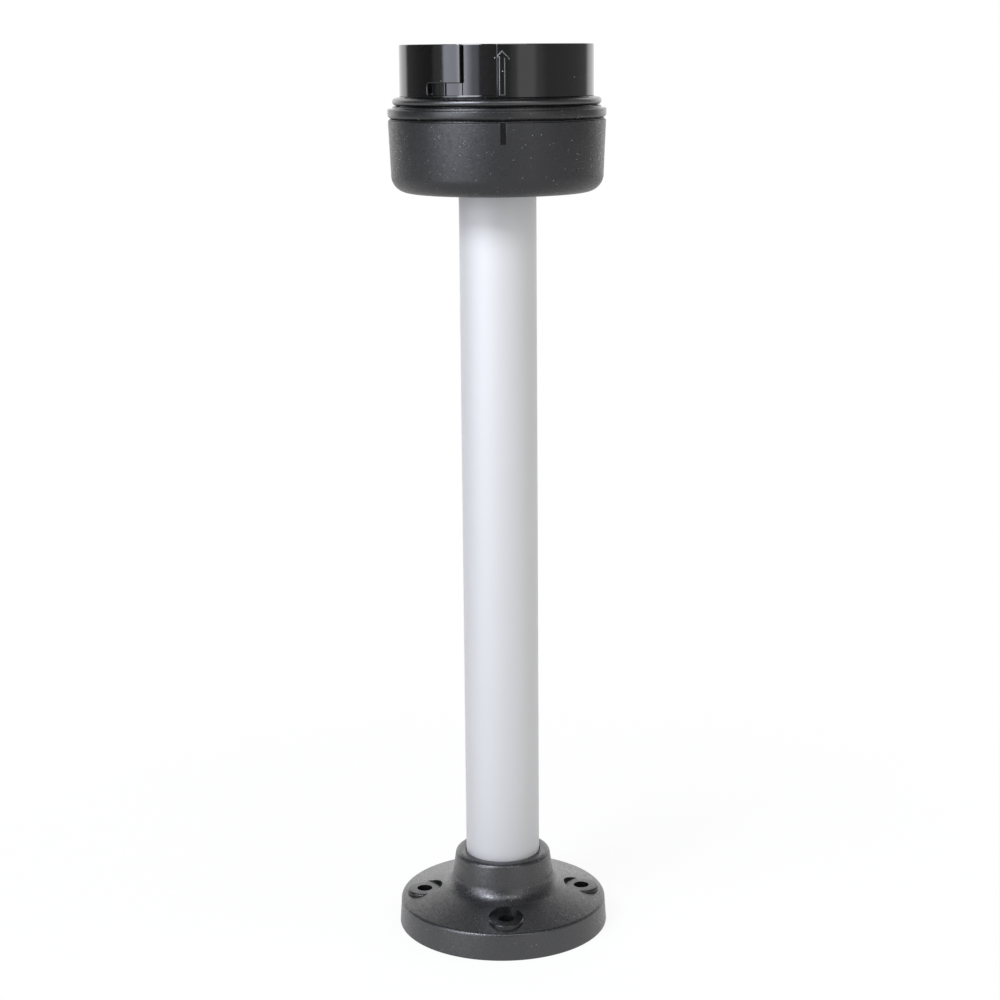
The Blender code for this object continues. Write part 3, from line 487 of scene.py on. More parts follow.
def blend(tree, share, low, high):
    """Mix two colours by a share. Each is three numbers or a socket."""
    settings = {"data_type": "RGBA"}
    links = {0: share}
    for key, colour in ((6, low), (7, high)):
        if isinstance(colour, bpy.types.NodeSocket):
            links[key] = colour
        else:
            settings[key] = (*colour, 1)
    return add_node(tree, "ShaderNodeMix", settings, links).outputs[2]


def bumped(tree, height, strength, depth):
    """The normal of a surface with this height on it."""
    settings = {"Strength": strength, "Distance": depth}
    return add_node(tree, "ShaderNodeBump", settings, {"Height": height}).outputs["Normal"]


def vectors(tree, operation, settings, links):
    """The result of a Vector Math node."""
    node = add_node(tree, "ShaderNodeVectorMath", {"operation": operation, **settings}, links)
    return node.outputs["Vector"]


def feed(tree, shader, colour, roughness, normal=None):
    """Link a shader's colour, roughness and normal."""
    tree.links.new(colour, shader.inputs["Base Color"])
    tree.links.new(roughness, shader.inputs["Roughness"])
    if normal is not None:
        tree.links.new(normal, shader.inputs["Normal"])


def specks(tree, where, size, share, shade, base):
    """Scatter bright specks of dust of this size over a base colour and give the mixed colour."""
    cells = add_node(tree, "ShaderNodeTexVoronoi", {"Scale": 1 / (3 * size)}, {"Vector": where})
    pick = add_node(tree, "ShaderNodeSeparateColor", None, {"Color": cells.outputs["Color"]})
    chosen = maths(tree, "LESS_THAN", pick.outputs["Red"], share)
    near = maths(tree, "LESS_THAN", cells.outputs["Distance"], 0.22)
    return blend(tree, maths(tree, "MULTIPLY", chosen, near), base, linear(shade))


def moulded_plastic(name, colour, roughness, grain, height, dust, sparkle=0.0, specular=0.5):
    """Plastic from an eroded mould: a grain whose tiny facets sparkle, uneven gloss and specks of dust."""
    material, tree, shader, where = new_material(name, {"IOR": 1.5, "Specular IOR Level": specular})
    # The real grain is finer than one picture point, so it is drawn about twice as coarse
    fine = noise(tree, where, grain, 2.0, 0.6)
    facets = add_node(tree, "ShaderNodeTexVoronoi", {"Scale": 1 / (0.7 * grain)}, {"Vector": where})
    lean = vectors(tree, "SUBTRACT", {1: (0.5, 0.5, 0.5)}, {0: facets.outputs["Color"]})
    # One facet in thirty leans three times as far as the others and flashes by itself
    pick = add_node(tree, "ShaderNodeTexWhiteNoise", {"noise_dimensions": "3D"},
                    {"Vector": facets.outputs["Position"]})
    far = maths(tree, "LESS_THAN", pick.outputs["Value"], 0.033)
    tilt = vectors(tree, "SCALE", {}, {0: lean, "Scale": spread(tree, far, sparkle, 3 * sparkle)})
    tilted = vectors(tree, "ADD", {}, {0: bumped(tree, fine, 1.0, height), 1: tilt})
    facing = vectors(tree, "NORMALIZE", {}, {0: tilted})
    gloss = spread(tree, fine, roughness - 0.1, roughness + 0.12, 0.3, 0.7)
    polish = maths(tree, "MULTIPLY", gloss, spread(tree, far, 1.0, 0.45))
    shade = vectors(tree, "SCALE", {0: colour}, {"Scale": spread(tree, fine, 0.85, 1.15, 0.3, 0.7)})
    if dust > 0:
        shade = specks(tree, where, 0.18 * MM, dust, "#8b8883", shade)
    feed(tree, shader, shade, polish, facing)
    return material


def polished_plastic(name, colour):
    """Black plastic from a polished mould: a mirror gloss that is never quite flat, with a little dust."""
    material, tree, shader, where = new_material(name, {"IOR": 1.52})
    wave = noise(tree, where, 6 * MM, 1.0)
    haze = noise(tree, where, 1.2 * MM, 4.0)
    shade = vectors(tree, "SCALE", {0: colour}, {"Scale": haze})
    dusted = specks(tree, where, 0.25 * MM, 0.012, "#a8a5a0", shade)
    gloss = spread(tree, haze, 0.06, 0.13, 0.35, 0.75)
    feed(tree, shader, dusted, gloss, bumped(tree, wave, 0.35, 0.04 * MM))
    return material


def nitrile_rubber(name, colour):
    """Moulded nitrile rubber: dark, softly shining, with a faint bloom."""
    material, tree, shader, where = new_material(name, {"IOR": 1.52, "Specular IOR Level": 0.8})
    bloom = noise(tree, where, 0.9 * MM, 4.0)
    shade = blend(tree, bloom, colour, [1.8 * c for c in colour])
    feed(tree, shader, shade, spread(tree, bloom, 0.2, 0.38), bumped(tree, bloom, 0.3, 0.02 * MM))
    return material


def anodised_aluminium(name, colour, roughness):
    """Drawn tube, etched and anodised: satin silver with faint lines along its length."""
    material, tree, shader, where = new_material(name, {"Metallic": 0.7})
    # Real draw lines are about 0.2 mm apart, too fine to show, so they are drawn 0.5 mm apart; each is
    # 60 times as long as it is wide
    stretched = add_node(tree, "ShaderNodeMapping", {"Scale": (1, 1, 1 / 60)}, {"Vector": where})
    lines = noise(tree, stretched.outputs["Vector"], 0.5 * MM, 3.0)
    etch = noise(tree, where, 0.3 * MM, 2.0)
    shade = blend(tree, lines, [0.94 * c for c in colour], colour)
    gloss = spread(tree, lines, roughness - 0.06, roughness + 0.06)
    feed(tree, shader, shade, gloss, bumped(tree, etch, 0.25, 0.01 * MM))
    return material


def plain_metal(name, colour, roughness, grain):
    """Plated or rolled metal: bright, with a slightly uneven gloss from plating or rolling."""
    material, tree, shader, where = new_material(name, {"Metallic": 1.0})
    spots = noise(tree, where, grain, 3.0)
    shade = blend(tree, spots, [0.82 * c for c in colour], colour)
    feed(tree, shader, shade, spread(tree, spots, roughness - 0.08, roughness + 0.12))
    return material


# Pieces


class POLEBASE_OT_foot(bpy.types.Operator):
    """Build the moulded foot with its bolt seats and ribs"""
    bl_idname = "pole_base.foot"
    bl_label = "Foot"

    def execute(self, context):
        settings = context.scene.pole_base.foot
        plastic = moulded_plastic("eroded_polyamide", settings.colour, roughness=0.34, grain=settings.grain,
                                  height=0.02 * MM, dust=0.012, sparkle=0.08, specular=0.85)
        # The flat bolt seats look darker and smoother than the rest of the foot
        seats = moulded_plastic("smooth_polyamide", linear("#131314"), roughness=0.26, grain=0.5 * MM,
                                height=0.004 * MM, dust=0)
        skirt = 9.2 * MM
        cone = 34.3 * MM
        root = 22.7 * MM
        rise = 3.4 * MM
        slope = math.degrees(math.atan2(rise, cone - root))
        profile = [
            *arc((SOCKET + 0.3 * MM, FOOT_TOP - 0.3 * MM), 0.3 * MM, 180, 90, 3),
            *arc((14.6 * MM, FOOT_TOP - 1.6 * MM), 1.6 * MM, 90, 5, 10),
            *arc((root, skirt + rise + 5.6 * MM), 5.6 * MM, 180, 270 - slope, 18),
            *arc((cone - 0.4 * MM, skirt - 1.1 * MM), 1.2 * MM, 90 - slope, 4, 8),
            (35.6 * MM, 0.8 * MM),
            *arc((35.3 * MM, 0.3 * MM), 0.35 * MM, 0, -58, 3),
            (35.3 * MM, 0),
            (BORE, 0),
            (BORE, 12.2 * MM),
            (SOCKET, 12.2 * MM),
        ]
        places = around(BOLT_RING, BOLT_TURNS)
        hollow = [(root, 9.6 * MM), (32.4 * MM, 6.6 * MM), (32.4 * MM, -3 * MM), (13.1 * MM, -3 * MM),
                  (13.1 * MM, 9.6 * MM)]
        steps = [("DIFFERENCE", lathe("foot_hollow", hollow, 150, 0.02))]
        clear = 0.2 * MM
        rib = [(12.5 * MM, clear), (33 * MM, clear), (33 * MM, 7.2 * MM), (root, 10.2 * MM),
               (12.5 * MM, 10.2 * MM)]
        for turn in BOLT_TURNS:
            plate = extruded("rib", [(r, -1 * MM, z) for r, z in rib], (0, 2 * MM, 0))
            plate.transform(Matrix.Rotation(turn + math.pi / 4, 4, "Z"))
            steps.append(("UNION", plate))
        seat = settings.seat / 2
        seat_high = 11.344 * MM
        room = seat + 0.15 * MM
        seat_floor = seat_high - 0.02 * MM
        hole = settings.bolt_hole / 2
        steps += [("UNION", pillar(seat, clear, seat_high, x, y, 56, 0.8 * MM)) for x, y in places]
        steps += [("DIFFERENCE", pillar(room, seat_floor, FOOT_TOP, x, y, 56)) for x, y in places]
        steps += [("DIFFERENCE", pillar(hole, -2 * MM, FOOT_TOP, x, y, 40)) for x, y in places]
        steps.append(("DIFFERENCE", crossbar(SET_SCREW_HOLE, BORE, 35.7 * MM, FOOT_TOP - 5 * MM)))
        foot = carved("foot_moulding", lathe("foot_moulding", profile, 180, 0.004), steps, plastic, 18)
        foot.data.materials.append(seats)
        edge = seat + 0.2 * MM
        for face in foot.data.polygons:
            corners = [foot.data.vertices[v].co for v in face.vertices]
            if any(all(math.hypot(p.x - x, p.y - y) < edge for p in corners) for x, y in places):
                face.material_index = 1
        stand_in(foot, "stand", "foot_plastic", "foot")
        return {"FINISHED"}


class POLEBASE_OT_tube(bpy.types.Operator):
    """Build the anodised pole"""
    bl_idname = "pole_base.tube"
    bl_label = "Pole"

    def execute(self, context):
        settings = context.scene.pole_base.tube
        metal = anodised_aluminium("anodised_aluminium", settings.colour, settings.roughness)
        outside = 12.5 * MM
        profile = softened([(BORE, TUBE_TOP, 0.3 * MM), (outside, TUBE_TOP, 0.4 * MM),
                            (outside, TUBE_LOW, 0.4 * MM), (BORE, TUBE_LOW, 0.3 * MM)])
        tube = place("drawn_tube", lathe("drawn_tube", profile, 128), metal)
        stand_in(tube, "stand", "tube_aluminium", "tube")
        return {"FINISHED"}


class POLEBASE_OT_cup(bpy.types.Operator):
    """Build the cup on the pole with its alignment line"""
    bl_idname = "pole_base.cup"
    bl_label = "Cup"

    def execute(self, context):
        settings = context.scene.pole_base.head
        plastic = moulded_plastic("grained_polycarbonate", settings.cup_colour, roughness=0.4,
                                  grain=settings.grain, height=0.05 * MM, dust=0.03, sparkle=0.13)
        stop = TUBE_TOP + 0.25 * MM
        floor = CUP_LOW + 2.4 * MM
        low = 34.1 * MM
        corner = 5.6 * MM
        seal = 34.05 * MM
        recess = CUP_TOP - 0.9 * MM
        profile = [
            (seal, CUP_TOP),
            *arc((34.45 * MM, CUP_TOP - 0.35 * MM), 0.35 * MM, 90, 0, 5),
            *arc((low - corner, CUP_LOW + corner), corner, 2, -90, 18),
            *arc((SOCKET + 0.4 * MM, CUP_LOW + 0.4 * MM), 0.4 * MM, -90, -180, 4),
            (SOCKET, stop),
            (BORE, stop),
            (BORE, stop + 2.4 * MM),
            (16.1 * MM, stop + 2.4 * MM),
            (16.1 * MM, floor),
            *arc((low - corner, floor + 3.2 * MM), 3.2 * MM, -90, 0, 6),
            (CUP_INSIDE, recess),
            (seal, recess),
        ]
        screw = CUP_LOW + 6.25 * MM
        places = around(SCREW_RING, SCREW_TURNS)
        post_low = floor - 0.6 * MM
        post_high = FLANGE_LOW - 0.25 * MM
        steps = [("UNION", pillar(3.5 * MM, post_low, post_high, x, y)) for x, y in places]
        steps.append(("UNION", crossbar(4.2 * MM, 13.3 * MM, 33.5 * MM, screw)))
        pilot = COVER_TOP - 27.9 * MM
        steps += [("DIFFERENCE", pillar(SCREW_HOLE, pilot, RIM, x, y, 24)) for x, y in places]
        steps.append(("DIFFERENCE", crossbar(SET_SCREW_HOLE, BORE, 37 * MM, screw)))
        half = 0.85 * MM
        line = block((-half, -37 * MM, CUP_TOP - 6.5 * MM), (half, -34.3 * MM, CUP_TOP + 2 * MM),
                     math.radians(MARK_TURN))
        steps.append(("DIFFERENCE", line))
        cup = carved("cup_moulding", lathe("cup_moulding", profile, 180, 0.004), steps, plastic)
        turned = Matrix.Rotation(-math.radians(MARK_TURN), 3, "Z")

        def line_edge(edge):
            ends = [turned @ vert.co for vert in edge.verts]
            inside = all(abs(abs(p.x) - half) < 0.02 * MM and p.y < -34.4 * MM for p in ends)
            return inside and edge.calc_face_angle(0) > math.radians(40)

        round_edges(cup.data, 0.22 * MM, line_edge, 2, 0.02 * MM)
        # The line is polished inside, so it looks darker than the grain round it
        cup.data.materials.append(polished_plastic("polished_line", settings.neck_colour))
        for face in cup.data.polygons:
            spot = turned @ face.center
            if abs(spot.x) < 1.05 * MM and spot.y < -34.2 * MM and spot.z > CUP_TOP - 8 * MM:
                face.material_index = 1
        stand_in(cup, "head", "cup_plastic", "cup")
        return {"FINISHED"}


def neck_flange(material):
    """Flange with its lip, the ring's seat between two slits, the neck's floor and the spigot in the cup."""
    flange = 34.9 * MM
    undercut = 29.3 * MM
    channel = LIP_TOP - 0.4 * MM
    spigot = CUP_INSIDE - 0.25 * MM
    spigot_low = FLANGE_LOW - 3.4 * MM
    profile = softened([
        (NECK_INSIDE, NECK_LOW, 0),
        (undercut, NECK_LOW, 0),
        (undercut, NECK_LOW - 0.7 * MM, 0),
        (RING_SEAT, NECK_LOW - 0.7 * MM, 0),
        (RING_SEAT, channel, 0),
        (32.6 * MM, channel, 0),
        (32.6 * MM, LIP_TOP, 0.1 * MM),
        (33.35 * MM, LIP_TOP, 0.32 * MM),
        (33.35 * MM, FLANGE_TOP, 0.15 * MM),
        (flange, FLANGE_TOP, 0.3 * MM),
        (flange, FLANGE_LOW + 0.8 * MM, 0.2 * MM),
        (flange - 0.8 * MM, FLANGE_LOW, 0.15 * MM),
        (spigot, FLANGE_LOW, 0),
        (spigot, spigot_low, 0.3 * MM),
        (spigot - 2 * MM, spigot_low, 0.3 * MM),
        (spigot - 2 * MM, FLANGE_LOW, 0.3 * MM),
        (9.5 * MM, FLANGE_LOW, 0.2 * MM),
        (9.5 * MM, NECK_FLOOR, 0.2 * MM),
        (NECK_INSIDE, NECK_FLOOR, 0.4 * MM),
    ], 3)
    places = around(SCREW_RING, SCREW_TURNS)
    steps = [("DIFFERENCE", pillar(SCREW_HOLE, spigot_low, RIM, x, y, 24)) for x, y in places]
    return carved("neck_flange", lathe("neck_flange", profile, 240, 0.004), steps, material)


def neck_wall(rounding):
    """Polished wall with an L-shaped slot, its raised detent and a back wall inside, twice round."""
    right = MARK_TURN - 3.0
    left = right - 43.34
    entry = right - 20.74
    rib = left + 7.6
    back = math.degrees(2.0 * MM / NECK_INSIDE)
    rib_end = rib + 4.5
    marks = [left - back, left, rib, rib_end, entry, right, right + back]
    plain = [2.25 * k - 180 for k in range(160)]
    keep = [turn for turn in plain if all(not -0.9 < turn - mark < 0.9 for mark in marks)]
    keep = [turn for turn in keep if not left < turn < left + 2 and left - 9 < turn < left + 171]
    half = [turn for turn in sorted(marks + keep) if turn < left - back + 180]
    turns = [math.radians(turn + 180 * k) for k in range(2) for turn in half]
    middles = [((turns[i] + turns[(i + 1) % len(turns)]) / 2) for i in range(len(turns))]
    middles[-1] = (turns[-1] + turns[0] + 2 * math.pi) / 2
    middles = [(math.degrees(turn) - left + 90) % 180 + left - 90 for turn in middles]
    low = NECK_LOW + 0.85 * MM
    high = NECK_LOW + 4.5 * MM

    def outer(i, j):
        turn = middles[i]
        if j == 0 or not left < turn < right:
            return NECK
        if turn > entry:
            return SLOT_FLOOR
        if j == 2:
            return NECK
        return RIB_TOP if rib < turn < rib_end else LEG_FLOOR

    def inner(i):
        return SLOT_BACK if left - back < middles[i] < right + back else NECK_INSIDE

    def leg_corner(edge):
        a, b = (vert.co for vert in edge.verts)
        level = abs(a.z - b.z) < 1e-6 and (abs(a.z - low) < 1e-6 or abs(a.z - high) < 1e-6)
        lengths = sorted((from_axis(a), from_axis(b)))
        if not level or lengths[1] - lengths[0] < 0.3 * MM or lengths[1] < LEG_FLOOR + 0.1 * MM:
            return False
        turn = math.degrees(math.atan2(a.x, -a.y))
        return min(abs(turn - left), abs(turn - left - 180)) < 0.1 and lengths[0] > LEG_FLOOR - 0.1 * MM

    def outline(edge):
        if edge.calc_face_angle(0) < math.radians(40) or not edge.is_convex:
            return False
        ends = [vert.co for vert in edge.verts]
        return all(from_axis(end) > LEG_FLOOR + 0.2 * MM or end.z > RIM - 1e-6 for end in ends)

    mesh = stepped_ring("neck_wall", turns, [NECK_LOW, low, high, RIM], outer, inner)
    round_edges(mesh, 0.9 * MM, leg_corner, 4)
    round_edges(mesh, rounding, outline)
    true_round(mesh, (NECK, NECK_INSIDE, SLOT_FLOOR, LEG_FLOOR, RIB_TOP, SLOT_BACK))
    return mesh


def neck_arrow(rounding):
    """Raised arrow that points up beside the front slot, its left barb clipped at the slot."""
    tip = RIM - 2.0 * MM
    corner = tip - 2.3 * MM
    notch = tip - 1.95 * MM
    foot = NECK_LOW + 0.8 * MM
    wide = 2.3 * MM
    half = 0.95 * MM
    clip = 1.48 * MM
    under = 0.95 / 1.35
    raised = 0.4 * MM
    buried = 0.6 * MM
    outline = [(half, notch), (half, foot), (-half, foot), (-half, notch),
               (-clip, notch - under * (clip - half)), (-clip, tip - clip), (0, tip), (wide, corner),
               (wide, corner - 0.6 * MM)]
    points = [(x, buried - NECK, z) for x, z in outline]
    mesh = extruded("neck_arrow", points, (0, -buried - raised, 0), 1.4 * rounding)
    for vertex in mesh.vertices:
        vertex.co.y += NECK - math.sqrt(NECK ** 2 - vertex.co.x ** 2)
    true_round(mesh, (NECK + raised,))
    mesh.transform(Matrix.Rotation(math.radians(MARK_TURN), 4, "Z"))
    return mesh


class POLEBASE_OT_neck(bpy.types.Operator):
    """Build the flange and the bayonet neck with its slots and arrow"""
    bl_idname = "pole_base.neck"
    bl_label = "Bayonet neck"

    def execute(self, context):
        settings = context.scene.pole_base.head
        gloss = polished_plastic("polished_polycarbonate", settings.neck_colour)
        rubbed = moulded_plastic("rubbed_polycarbonate", settings.flange_colour, roughness=0.31,
                                 grain=0.4 * MM, height=0.03 * MM, dust=0.04, specular=0.55)
        # The arrow's rounded edges get a pale grey: a painted highlight that stands in for the light they
        # catch
        painted_edge_highlight = moulded_plastic("painted_highlight_edge", linear("#707072"), roughness=0.36, grain=0.3 * MM,
                               height=0.01 * MM, dust=0)
        neck = place("neck_wall", neck_wall(settings.edge), gloss)
        arrow = place("neck_arrow", neck_arrow(settings.edge), gloss)
        arrow.data.materials.append(painted_edge_highlight)
        for face in arrow.data.polygons:
            out = Vector((face.center.x, face.center.y, 0)).normalized()
            # The rounded edges, which take the painted highlight, are the faces that lean between outwards
            # and sideways
            if 0.2 < face.normal.dot(out) < 0.9:
                face.material_index = 1
        for piece in (neck, arrow, neck_flange(rubbed)):
            stand_in(piece, "head", "neck_plastic", "bayonet_neck")
        return {"FINISHED"}


class POLEBASE_OT_rubber(bpy.types.Operator):
    """Build the O-ring, the flat seal and the cable grommet"""
    bl_idname = "pole_base.rubber"
    bl_label = "Rubber rings"

    def execute(self, context):
        settings = context.scene.pole_base.head
        rubber = nitrile_rubber("nitrile_rubber", settings.rubber_colour)
        cord = 1.2 * MM
        ring = arc((RING_SEAT + 0.2 * MM + cord, (LIP_TOP + NECK_LOW) / 2), cord, 90, -270, 28)[:-1]
        low = CUP_TOP - 0.65 * MM
        high = FLANGE_LOW - 0.25 * MM
        lip = CUP_TOP + 0.08 * MM
        corner = 0.1 * MM
        flat = softened([(32.6 * MM, high, corner), (34.4 * MM, high, corner), (34.4 * MM, lip, corner),
                         (33.8 * MM, lip, 0), (33.8 * MM, low, corner), (32.6 * MM, low, corner)])
        top = NECK_FLOOR + 0.25 * MM
        bottom = FLANGE_LOW - 0.25 * MM
        sleeve = softened([
            (7.6 * MM, top + MM, 0.4 * MM), (11.1 * MM, top + MM, 0.45 * MM), (11.1 * MM, top, 0.2 * MM),
            (9.25 * MM, top, 0.1 * MM), (9.25 * MM, bottom, 0.1 * MM), (11.1 * MM, bottom, 0.2 * MM),
            (11.1 * MM, bottom - MM, 0.45 * MM), (7.6 * MM, bottom - MM, 0.4 * MM)])
        for name, profile, steps, node in (("o_ring", ring, 180, "neck_o_ring"),
                                           ("flat_seal", flat, 160, "cup_seal"),
                                           ("grommet", sleeve, 96, "cable_grommet")):
            piece = place(name, lathe(name, profile, steps), rubber)
            stand_in(piece, "head", "rubber", node)
        return {"FINISHED"}


def cover_plate(material):
    """Plate with drive holes, blade slots and screw holes, its edges rounded."""
    disc = softened([(BORE, COVER_TOP, 0.4 * MM), (24.8 * MM, COVER_TOP, 0.5 * MM),
                     (24.8 * MM, COVER_LOW, 0.2 * MM), (BORE, COVER_LOW, 0.2 * MM)])
    tools = []
    under = COVER_LOW - 2 * MM
    half = 1.55 * MM
    for turn, (x, y) in zip(TERMINAL_TURNS, around(TERMINAL_RING, TERMINAL_TURNS)):
        tools.append(pillar(2.45 * MM, under, COVER_LOW + 1.6 * MM, x, y, 32))
        tools.append(pillar(1.7 * MM, COVER_LOW, RIM, x, y, 32))
        tools.append(block((20.85 * MM, -half, under), (22.25 * MM, half, RIM), turn))
    tools += [pillar(SCREW_HOLE, under, RIM, x, y, 24) for x, y in around(SCREW_RING, SCREW_TURNS)]
    steps = [("DIFFERENCE", tool) for tool in tools]
    cover = carved("cover_plate", lathe("cover_plate", disc, 120, 0.004), steps, material)
    stand_in(cover, "head", "cover_plastic", "terminal_cover")


def contact_strip(index, turn, material):
    """One bent brass strip: a bar through the cage and a blade with a rounded tip."""
    low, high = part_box(f"contact_{index}")
    top = high.z
    bar = low.z
    thick = 0.9 * MM
    inner = 14.2 * MM
    outer = 22.0 * MM
    outline = softened([(inner, bar, 0), (outer, bar, 0.9 * MM), (outer, top, 0.3 * MM),
                        (outer - thick, top, 0.3 * MM), (outer - thick, bar + thick, 0.2 * MM),
                        (inner, bar + thick, 0)], 5)
    half = 1.3 * MM
    points = [(r, -half, z) for r, z in outline]
    mesh = extruded(f"contact_strip_{index}", points, (0, 2 * half, 0))
    mesh.transform(Matrix.Rotation(turn, 4, "Z"))
    strip = place(f"contact_strip_{index}", mesh, material)
    stand_in(strip, "head", "contact_brass", f"contact_{index}")


class POLEBASE_OT_terminals(bpy.types.Operator):
    """Build the cover, the contacts and the finishes of the terminal base and cages"""
    bl_idname = "pole_base.terminals"
    bl_label = "Terminals"

    def execute(self, context):
        settings = context.scene.pole_base.terminals
        grey = moulded_plastic("moulded_polyester", settings.base_colour, roughness=0.42, grain=0.3 * MM,
                               height=0.006 * MM, dust=0)
        dark = moulded_plastic("moulded_cover_plastic", settings.cover_colour, roughness=0.4, grain=0.3 * MM,
                               height=0.01 * MM, dust=0.01)
        brass = plain_metal("rolled_brass", settings.brass_colour, roughness=0.26, grain=0.8 * MM)
        zinc = plain_metal("plated_cage_steel", settings.zinc_colour, roughness=0.3, grain=0.6 * MM)
        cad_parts["terminal_base"].data.materials[0] = grey
        for i in range(1, 7):
            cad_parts[f"clamp_cage_{i}"].data.materials[0] = zinc
        cover_plate(dark)
        for i, turn in enumerate(TERMINAL_TURNS, start=1):
            contact_strip(i, turn, brass)
        return {"FINISHED"}


def slotted_screw(name, node, material, x, y, crossed, head, height, shank, edge):
    """A screw with a rounded head, cut by one slot or by a cross, on the same ends as its solid."""
    low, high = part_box(node)
    seat = high.z - height
    end = low.z - seat
    profile = softened([(0, height, 0), (head, height, edge), (head, 0, 0.1 * MM), (shank, 0, 0),
                        (shank, end, 0.3 * MM), (0, end, 0)], 5)
    half = 0.35 * MM
    reach = 1.6 * MM if crossed else 2 * head
    bottom = height - 0.7 * MM
    above = height + MM
    steps = [("DIFFERENCE", block((-reach, -half, bottom), (reach, half, above)))]
    if crossed:
        steps.append(("DIFFERENCE", block((-half, -reach, bottom), (half, reach, above))))
    screw = carved(name, lathe(name, profile, 40, 0.03), steps, material)
    turn = Matrix.Rotation(math.atan2(y, x), 4, "Z")
    screw.data.transform(Matrix.Translation((x, y, seat)) @ turn)
    return screw


def set_screw(name, node, material):
    """A headless screw with a hexagon socket, lying along +Y."""
    low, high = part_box(node)
    radius = (high.x - low.x) / 2
    length = high.y - low.y
    profile = softened([(0, length, 0), (radius, length, 0.3 * MM), (radius, 0, 0.4 * MM), (0, 0, 0)], 4)
    key = 1.15 * MM
    bottom = length - 1.6 * MM
    socket = lathe("socket", [(0, length + MM), (key, length + MM), (key, bottom), (0, bottom)], 6)
    screw = carved(name, lathe(name, profile, 40, 0.03), [("DIFFERENCE", socket)], material)
    spot = Matrix.Translation((0, low.y, (low.z + high.z) / 2))
    screw.data.transform(spot @ Matrix.Rotation(-math.pi / 2, 4, "X"))
    return screw


class POLEBASE_OT_screws(bpy.types.Operator):
    """Build the clamp screws, the head screws and the set screws"""
    bl_idname = "pole_base.screws"
    bl_label = "Screws"

    def execute(self, context):
        settings = context.scene.pole_base.terminals
        zinc = plain_metal("plated_screw_steel", settings.zinc_colour, roughness=0.28, grain=0.6 * MM)
        black = plain_metal("blackened_steel", linear("#5a5b5e"), roughness=0.36, grain=0.5 * MM)
        clamp = {"head": 2.2 * MM, "height": 1.6 * MM, "shank": 1.4 * MM, "edge": 0.15 * MM}
        for i, (x, y) in enumerate(around(TERMINAL_RING, TERMINAL_TURNS), start=1):
            screw = slotted_screw(f"clamp_screw_{i}", f"terminal_screw_{i}", zinc, x, y, False, **clamp)
            stand_in(screw, f"screw_{i}", "plated_steel", f"terminal_screw_{i}")
        long = {"head": 2.7 * MM, "height": 2.0 * MM, "shank": 1.4 * MM, "edge": 0.9 * MM}
        for i, (x, y) in enumerate(around(SCREW_RING, SCREW_TURNS), start=1):
            screw = slotted_screw(f"long_screw_{i}", f"head_screw_{i}", zinc, x, y, True, **long)
            stand_in(screw, "head", "plated_steel", f"head_screw_{i}")
        for name, node, body in (("foot_grub_screw", "foot_set_screw", "stand"),
                                 ("cup_grub_screw", "cup_clamp_screw", "head")):
            screw = set_screw(name, node, black)
            stand_in(screw, body, "dark_steel", node)
        return {"FINISHED"}


def add_camera(scene, settings):
    """The photograph's viewpoint."""
    data = bpy.data.cameras.new("camera")
    data.lens = settings.lens
    data.sensor_width = 36
    data.clip_start = 0.01
    camera = bpy.data.objects.new("camera", data)
    scene.collection.objects.link(camera)
    spot = Matrix.Rotation(-settings.side, 3, "Z") @ Vector((0, -settings.distance, settings.height))
    camera.matrix_world = (Matrix.Translation(spot) @ Matrix.Rotation(-settings.side, 4, "Z")
                           @ Matrix.Rotation(math.pi / 2 - settings.tilt, 4, "X")
                           @ Matrix.Rotation(settings.roll, 4, "Z"))
    scene.camera = camera


def add_floor():
    """A wide pale sheet that shows almost white and keeps a faint shadow."""
    bm = bmesh.new()
    bmesh.ops.create_grid(bm, x_segments=1, y_segments=1, size=3)
    sheet = place("studio_floor", finish_mesh(bm, "studio_floor"))
    sheet.location.z = -0.05 * MM
    material, tree, shader, where = new_material("white_paper", {
        "Base Color": (*linear("#f2f2f2"), 1), "Roughness": 0.9, "Specular IOR Level": 0.1})
    path = add_node(tree, "ShaderNodeLightPath").outputs
    seen = maths(tree, "MAXIMUM", path["Is Camera Ray"], path["Is Glossy Ray"])
    away = add_node(tree, "ShaderNodeVectorMath", {"operation": "LENGTH"}, {0: where}).outputs["Value"]
    lift = add_node(tree, "ShaderNodeMapRange", {
        "interpolation_type": "SMOOTHSTEP", "From Min": 0.06, "From Max": 0.3,
        "To Min": 0.9, "To Max": 1.0}, {"Value": away}).outputs["Result"]
    # No added white under the foot, so that the bolt holes stay dark
    open_floor = maths(tree, "GREATER_THAN", away, 34.5 * MM)
    share = maths(tree, "MULTIPLY", seen, maths(tree, "MULTIPLY", lift, open_floor))
    white = add_node(tree, "ShaderNodeEmission", {"Strength": 1.0})
    mix = add_node(tree, "ShaderNodeMixShader", None, {
        0: share, 1: shader.outputs["BSDF"], 2: white.outputs["Emission"]})
    tree.links.new(mix.outputs["Shader"], tree.nodes["Material Output"].inputs["Surface"])
    sheet.data.materials.append(material)


def colours_round(tree, share, stops):
    """Colours at angles round the object, easing from one to the next."""
    node = add_node(tree, "ShaderNodeValToRGB", None, {"Fac": share})
    node.color_ramp.interpolation = "EASE"
    elements = node.color_ramp.elements
    for turn, colour in stops[1:-1]:
        elements.new((turn + 180) / 360)
    for stop, (turn, colour) in zip(elements, stops):
        stop.color = (*colour, 1)
    return node.outputs["Color"]


